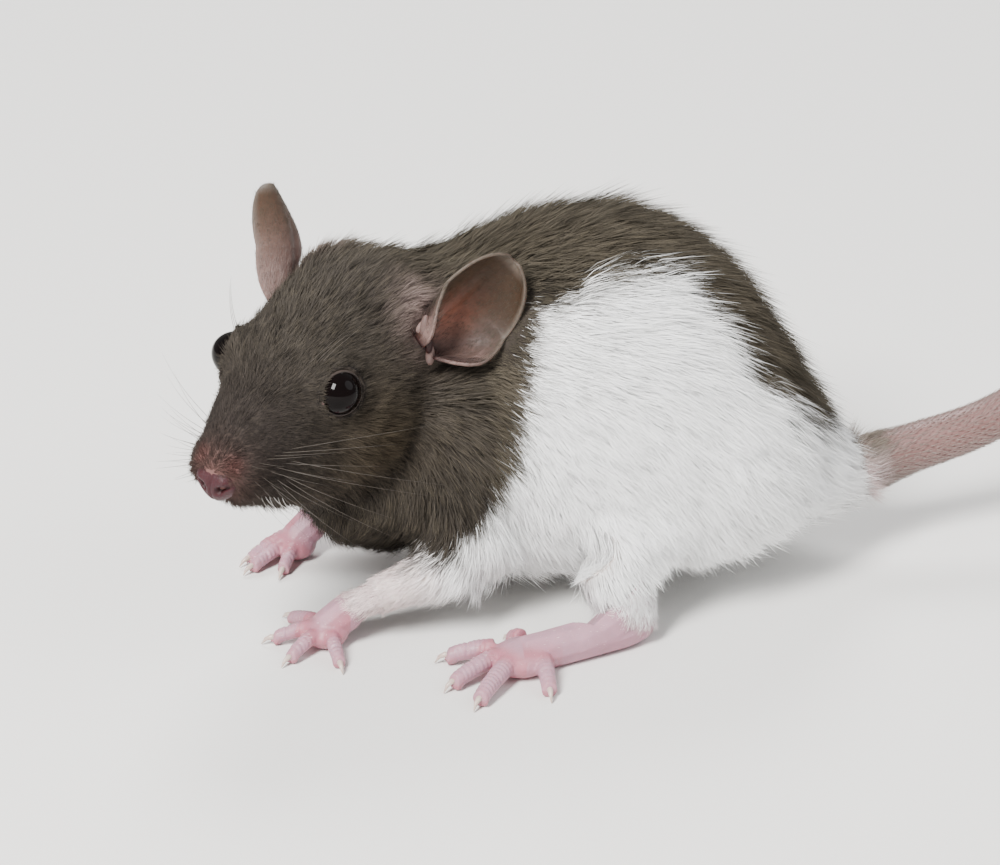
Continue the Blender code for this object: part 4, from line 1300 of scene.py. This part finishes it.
# Mauve on the muzzle: partly its own tone, and partly darkened as painted shade
MUZZLE_MAUVE_SHADE = np.array((0.028, 0.0222, 0.0213))
PALE_PINK = np.array((0.32, 0.235, 0.215))
NOSE_HAIR = np.array((0.072, 0.030, 0.027))
TICK = np.array((0.14, 0.117, 0.080))
BLACK_TIP = np.array((0.014, 0.012, 0.010))
WHITE_ROOT = np.array((0.80, 0.78, 0.77))
WHITE_TIP = np.array((0.94, 0.945, 0.945))
LIMB_PINK = np.array((0.76, 0.60, 0.59))
FLANK_PAINTED_LIGHT = 0.35  # painted light and shade: how much lighter the back's brown is painted on the flank, against the shade on the side, and how much darker low on the chest
CHEST_PAINTED_SHADE = 0.18
TICKED = 0.25  # the shares of hairs with a yellowish and with a black tip
BLACK_TIPPED = 0.15

coat_finish = Finish("coat", 0.7, {"Specular IOR Level": 0.03})
coat_finish.feed("Base Color", coat_finish.kept_tint())


def rooted(mesh, count, wanted, seed):
    """Random places on a mesh, thicker where wanted says, with the normal at each."""
    draw = np.random.default_rng(seed)
    mesh.calc_loop_triangles()
    corners = np.empty(len(mesh.loop_triangles) * 3, dtype=np.int32)
    mesh.loop_triangles.foreach_get("vertices", corners)
    corners = corners.reshape(-1, 3)
    spots = corners_of(mesh)
    normals = normals_of(mesh)
    a, b, c = (spots[corners[:, k]] for k in range(3))
    area = np.linalg.norm(np.cross(b - a, c - a), axis=1) / 2
    chance = area * wanted((a + b + c) / 3)
    picked = draw.choice(len(area), size=count, p=chance / chance.sum())
    p, q = draw.uniform(size=(2, count))
    turned = p + q > 1
    p[turned], q[turned] = 1 - p[turned], 1 - q[turned]
    shares = [x[:, None] for x in (1 - p - q, p, q)]
    chosen = corners[picked]
    where = sum(share * spots[chosen[:, k]] for k, share in enumerate(shares))
    facing = unit(sum(share * normals[chosen[:, k]] for k, share in enumerate(shares)))
    return where, facing


def clumps(where, members, draw):
    """For each root, the middle of the clump it belongs to and a number for that clump."""
    many = max(len(where) // members, 1)
    chosen = draw.choice(len(where), size=many, replace=False)
    tree = KDTree(many)
    for number, index in enumerate(chosen):
        tree.insert(where[index], number)
    tree.balance()
    owner = np.array([tree.find(spot)[1] for spot in where])
    return where[chosen][owner], owner, many


def blades(name, roots, coat, width, colours, uv, draw, members, gather, slot):
    """One mesh of tapered blades of three triangles, from arrays of what each does."""
    where, facing = roots
    lie, length, lift = coat
    count = len(where)
    along = unit(lie - facing * (lie * facing).sum(axis=1, keepdims=True))
    middle, owner, many = clumps(where, members, draw)
    swirl = SWIRL * waves(where, 9 * MM, 21)
    stray = swirl + draw.normal(size=count) * HAIR_STRAY + draw.normal(size=many)[owner] * CLUMP_STRAY
    across = np.cross(facing, along)
    along = along * np.cos(stray)[:, None] + across * np.sin(stray)[:, None]
    across = np.cross(facing, along)
    guard = draw.uniform(size=count) < GUARD_SHARE
    vary = 1.0 + CLUMP_LIFT * draw.normal(size=many)[owner] + HAIR_LIFT * draw.normal(size=count)
    vary += SWIRL_LIFT * waves(where, 6 * MM, 22)
    rise = np.clip(lift * vary + GUARD_LIFT * guard, 0.05, 1.2)
    vary = 1.0 + CLUMP_LENGTH * draw.normal(size=many)[owner] + HAIR_LENGTH * draw.normal(size=count)
    size = length * np.clip(vary + GUARD_LENGTH * guard, 0.4, 1.5)
    pull = middle - where
    pull -= facing * (pull * facing).sum(axis=1, keepdims=True)
    root = where - facing * ROOT_DEPTH
    ends = [root]
    for share in (FIRST_BEND, SECOND_BEND):
        lifted = rise * share
        way = along * np.cos(lifted)[:, None] + facing * np.sin(lifted)[:, None]
        ends.append(ends[-1] + way * (size * 0.5)[:, None])
    bend = ends[1] + pull * gather * BEND_PULL
    tip = ends[2] + pull * gather
    for row in (bend, tip):
        row[:, 2] = np.maximum(row[:, 2], FLOOR_GAP)
    roll = np.clip(draw.normal(size=count) * 0.45, -1.1, 1.1)
    flat = facing * np.sin(roll)[:, None] - across * np.cos(roll)[:, None]
    half = flat * (width / 2 * np.where(guard, 0.8, 1.0))[:, None]
    spots = np.stack([root - half, root + half, bend - half * 0.8, bend + half * 0.8, tip], axis=1)
    mesh = bpy.data.meshes.new(name)
    mesh.vertices.add(count * 5)
    mesh.vertices.foreach_set("co", spots.ravel())
    order = (0, 1, 3, 2, 2, 3, 4)
    mesh.loops.add(count * 7)
    mesh.loops.foreach_set("vertex_index", (np.arange(count)[:, None] * 5 + np.array(order)).ravel())
    mesh.polygons.add(count * 2)
    mesh.polygons.foreach_set("loop_start", (np.arange(count)[:, None] * 7 + np.array((0, 4))).ravel())
    mesh.update(calc_edges=True)
    layer = mesh.uv_layers.new(name="OFBake")
    patch = np.array(((-0.8, -1.0), (0.8, -1.0), (-0.6, 0.0), (0.6, 0.0), (0.0, 1.0))) * PATCH
    layer.data.foreach_set("uv", (uv[:, None, :] + patch)[:, order, :].astype(np.float32).ravel())
    write_colours(mesh, colours.reshape(-1, 3))
    mesh.shade_smooth()
    ways = unit(facing + 0.35 * unit(np.cross(flat, tip - root)))
    mesh.normals_split_custom_set_from_vertices(np.repeat(ways, 5, axis=0))
    return finished(shown(name, mesh), coat_finish, slot)


def by_the_wrists(where):
    """1 at the wrists, where the coat is short and thin, and 0 from half way up the forearms."""
    share = np.zeros(len(where))
    for node, _, joint, sleeve, _ in FEET:
        if node.startswith("fore"):
            apart = np.linalg.norm(where / MM - np.array(joint), axis=1)
            share = np.maximum(share, 1.0 - ramp(apart, sleeve, sleeve + 12.0))
    return share


def hair_colours(where, lie, length, draw):
    """Five colours for each hair, two at the root, two half way and one at the tip."""
    count = len(where)
    seen = where + lie * (length * SEEN_SHARE)[:, None]
    dark = ramp(darkness(seen) + draw.normal(size=count) * 0.9, -1.4, 1.4)[:, None]
    cloud = 0.15 * waves(where, 10 * MM, 11) + 0.15 * waves(where, 4 * MM, 12)
    shade = np.clip(1.0 + cloud + 0.15 * draw.normal(size=count), 0.5, 1.6)[:, None]
    rows = head_rows(where)
    on_head = (ramp(rows[:, 0], -27.0, -12.0) * (where[:, 0] < -60 * MM))[:, None]
    # Painted shade on the cheeks, along with their olive tone
    cheek_olive_shade = sum(near(rows, (-4.0, side * 12.0, -9.0), 8.0) for side in (1.0, -1.0))[:, None]
    # Painted shade on the muzzle, along with its mauve tone; fewer yellow ticks there too
    mauve = near(rows, (12.0, 0.0, -6.0), 9.0)[:, None]
    pink = rosy(where)[:, None] * 0.9
    # Painted shade: the brown is darker low on the chest, where shade falls
    low = ramp(-where[:, 2] / MM, -40.0, -18.0)[:, None] * (where[:, 0] < -40 * MM)[:, None]
    # Painted light: the brown is lighter on the flank, to undo the shade that falls on the side
    flank_painted_light = ramp(np.abs(where[:, 1]) / MM, 10.0, 19.0) * ramp(where[:, 2] / MM, 22.0, 32.0)
    body = mixed(BACK_BROWN * (1 + FLANK_PAINTED_LIGHT * flank_painted_light[:, None]), HOOD_BROWN, on_head)
    body = mixed(body * (1 - CHEST_PAINTED_SHADE * low), CHEEK_OLIVE_SHADE, cheek_olive_shade)
    body = mixed(body, MUZZLE_MAUVE_SHADE, mauve)
    at_nose = ramp(rows[:, 0], 4.0, 10.0)[:, None]
    body = mixed(body, mixed(PALE_PINK, NOSE_HAIR, at_nose), pink)
    kind = draw.uniform(size=count)[:, None]
    ticked = mixed(body, TICK, 0.5 * (1 - 0.85 * mauve))
    tip = np.where(kind > 1 - BLACK_TIPPED, mixed(BLACK_TIP, body, 0.4), body)
    tip = np.where(kind < TICKED, ticked, tip)
    white = mixed(WHITE_TIP, LIMB_PINK, 0.8 * by_the_wrists(where)[:, None])
    root = mixed(WHITE_ROOT * (0.9 + 0.1 * shade), SLATE, dark)
    bend = mixed(white * (0.94 + 0.06 * shade), body * shade, dark)
    tip = mixed(white, tip * shade, dark)
    return np.clip(np.stack([root, root, bend, bend, tip], axis=1), 0.0, BRIGHTEST)


def globe(where, middle, axis, top):
    """An equal-area unwrap of a shape about its middle, from the side that an axis points to."""
    axis = unit(np.array(axis, float))
    top = unit(np.array(top, float) - axis * np.dot(top, axis))
    side = np.cross(axis, top)
    out = unit(where - np.array(middle))
    toward = np.clip(out @ axis, -0.98, 1.0)
    spread = 0.336 / np.sqrt(1.0 + toward)
    return 0.5 + np.stack([out @ side * spread, out @ top * spread], axis=1)


eye_middles = [np.array(middle_of("eye_left")), np.array(middle_of("eye_right"))]
nose_middle = np.array(head_spot(NOSE_PLACE))


def bare(spots):
    """True where no hair grows: round the eyes and on the nose."""
    hit = np.linalg.norm(spots - nose_middle, axis=1) < 2.7 * MM
    for middle in eye_middles:
        hit |= np.linalg.norm(spots - middle, axis=1) < EYE_RADIUS + 0.35 * MM
    return hit


left_way = np.array(head_way((0.0, 1.0, 0.0)))
up_way = np.array(head_way((0.0, 0.0, 1.0)))
head_middle = np.array(head_spot((-4.0, 0.0, -5.0)))


def region(spots):
    """Which piece of the coat a place belongs to."""
    x, y, z = head_rows(spots).T
    in_skull = (x > -19.0) & (z > -23.0) & (np.abs(y) < 17.0) & (spots[:, 0] < -63 * MM)
    body = 2 + 2 * (spots[:, 0] > -38 * MM) + (spots[:, 1] > 0.0)
    return np.where(in_skull, np.where(y > 0.0, 0, 1), body)


FORE_MIDDLE = np.array((-58.0, 0.0, 27.0)) * MM
REAR_MIDDLE = np.array((-24.0, 0.0, 24.0)) * MM
# Each piece, in the order of region's numbers: its name, the middle, way and top of its unwrap, a
# blade's width in millimetres, and its slot
PIECES = [
    ("coat_head_left", head_middle, left_way, up_way, 0.10, "hood_coat"),
    ("coat_head_right", head_middle, -left_way, up_way, 0.10, "hood_coat"),
    ("coat_fore_left", FORE_MIDDLE, (0, -1, 0), (0, 0, 1), 0.115, "white_coat"),
    ("coat_fore_right", FORE_MIDDLE, (0, 1, 0), (0, 0, 1), 0.115, "white_coat"),
    ("coat_rear_left", REAR_MIDDLE, (0, -1, 0), (0, 0, 1), 0.13, "white_coat"),
    ("coat_rear_right", REAR_MIDDLE, (0, 1, 0), (0, 0, 1), 0.13, "white_coat"),
]
ear_rows = np.concatenate([corners_of(pinna.data)[::4] for pinna in ears])
ear_tree = KDTree(len(ear_rows))
for index, spot in enumerate(ear_rows):
    ear_tree.insert(spot, index)
ear_tree.balance()


def clear_of_ears(where, length):
    """Hair lengths cut down so that no hair pokes through an ear."""
    close = np.linalg.norm(head_rows(where) - (-20.0, 0.0, 6.0), axis=1) < 32.0
    length = length.copy()
    for index in np.flatnonzero(close):
        away = ear_tree.find(where[index])[2]
        length[index] = min(length[index], max(0.85 * away, 0.7 * MM))
    return length


for number, (name, middle, axis, top, width, slot) in enumerate(PIECES):
    draw = np.random.default_rng(100 + number)

    def wanted(spots):
        return (region(spots) == number) & ~bare(spots)

    roots = rooted(skin.data, HAIRS_PER_PIECE // THIN, wanted, 200 + number)
    where, facing = roots
    lie, length, lift = coat_at(where)
    against = ramp(-(lie * facing).sum(axis=1), 0.3, 0.8) * (where[:, 0] > -60 * MM)
    length = length * (1 - 0.65 * against) * (1 - 0.45 * by_the_wrists(where))
    length = clear_of_ears(where, length)
    wide = width * MM * math.sqrt(THIN) * np.clip(length / (3.0 * MM), 0.65, 1.15)
    tints = hair_colours(where, lie, length, draw)
    uv = globe(where, middle, axis, top)
    members = HEAD_CLUMP if slot == "hood_coat" else BODY_CLUMP
    blades(name, roots, (lie, length, lift), wide, tints, uv, draw, members, COAT_GATHER, slot)


# How many fine hairs an ear, a foot and the tail's root carry, and how wide they are in millimetres
EAR_HAIRS = (10000, 0.04)
FOOT_HAIRS = (6000, 0.07)
TAIL_ROOT_HAIRS = (3200, 0.06)


def bare_hair(name, obj, hairs, looks, axis, seed, slot):
    """Fine hair on a bare piece, from functions for where it grows, how it lies and its colour."""
    count, width = hairs
    wanted, coat_of, tint = looks
    draw = np.random.default_rng(seed)
    roots = rooted(obj.data, count // THIN, wanted, seed)
    where = roots[0]
    shade = np.clip(1.0 + 0.15 * draw.normal(size=len(where)), 0.6, 1.3)[:, None]
    tints = np.clip(np.repeat((tint(where) * shade)[:, None, :], 5, axis=1), 0.0, BRIGHTEST)
    uv = globe(where, where.mean(axis=0), axis, (0, 0, 1))
    wide = np.full(len(where), width * MM)
    blades(name, roots, coat_of(*roots), wide, tints, uv, draw, FINE_CLUMP, FINE_GATHER, slot)


for pinna, (side, sign) in zip(ears, SIDES):
    rise, face_way, rear = [np.array(head_way(way)) for way in ear_frame(side, sign)]
    foot_of_ear = np.array(head @ ear_spot(side, sign, 0.0, 0.0))
    foot_tint = EAR_PALE * 0.38 if side == "left" else PALE_PINK
    foot_fade = (0.05, 0.40) if side == "left" else (0.20, 0.70)

    def up_ear(spots):
        return np.clip((spots - foot_of_ear) @ rise / (EARS[side]["length"] * MM), 0.0, 1.0)

    def ear_coat(where, facing):
        low = 1.0 - ramp(up_ear(where), 0.10, 0.45)
        length = (0.75 + 1.5 * low * (facing @ face_way < 0.0)) * MM
        return np.tile(rise, (len(where), 1)), length, np.full(len(where), math.radians(16.0))

    def ear_wanted(spots):
        return 1.3 - up_ear(spots)

    def ear_hair_tint(where):
        low = (1.0 - ramp(up_ear(where), *foot_fade))[:, None]
        return mixed(BACK_BROWN, foot_tint, low)

    looks = (ear_wanted, ear_coat, ear_hair_tint)
    bare_hair(f"coat_ear_{side}", pinna, EAR_HAIRS, looks, rear, 300, "bare_skin")

for foot, joint, sleeve, down in feet:
    joint = np.array(joint) * MM
    name = "coat_" + foot.name.replace("_skin", "")

    def sleeve_share(spots):
        return 1.0 - ramp(np.linalg.norm(spots - joint, axis=1) / MM, sleeve, 2.1 * sleeve)

    def foot_wanted(spots):
        return (0.012 + sleeve_share(spots) ** 1.5) * ramp(spots[:, 2] / MM, 0.8, 2.5)

    def foot_coat(where, facing):
        share = sleeve_share(where)
        lie = unit(mixed(np.array((-1.0, 0.0, -0.1)), np.array(down), share[:, None]))
        return lie, (0.5 + 0.24 * sleeve * share) * MM, np.full(len(where), math.radians(18.0))

    def foot_hair_tint(where):
        share = sleeve_share(where)[:, None] * (0.9 if "hind" in name else 0.2)
        return mixed(LIMB_PINK, WHITE_TIP, share)

    looks = (foot_wanted, foot_coat, foot_hair_tint)
    bare_hair(name, foot, FOOT_HAIRS, looks, (0, 0, 1), 400, "white_coat")


def tail_root_wanted(spots):
    return (1.0 - ramp(spots[:, 0] / MM, 1.0, 11.0)) ** 2


def tail_root_coat(where, facing):
    along = np.array((tail_point(0.06) - tail_point(0.0)).normalized())
    length = (1.0 + 3.4 * tail_root_wanted(where)) * MM
    return np.tile(along, (len(where), 1)), length, np.full(len(where), math.radians(9.0))


def tail_root_tint(where):
    up = ramp((where[:, 2] - 15.0 * MM) / MM, -1.0, 3.5)[:, None]
    return mixed(LIMB_PINK * 0.8, BACK_BROWN * 2.6, up)


looks = (tail_root_wanted, tail_root_coat, tail_root_tint)
bare_hair("coat_tail_root", tail, TAIL_ROOT_HAIRS, looks, (1, 0, 0), 500, "white_coat")
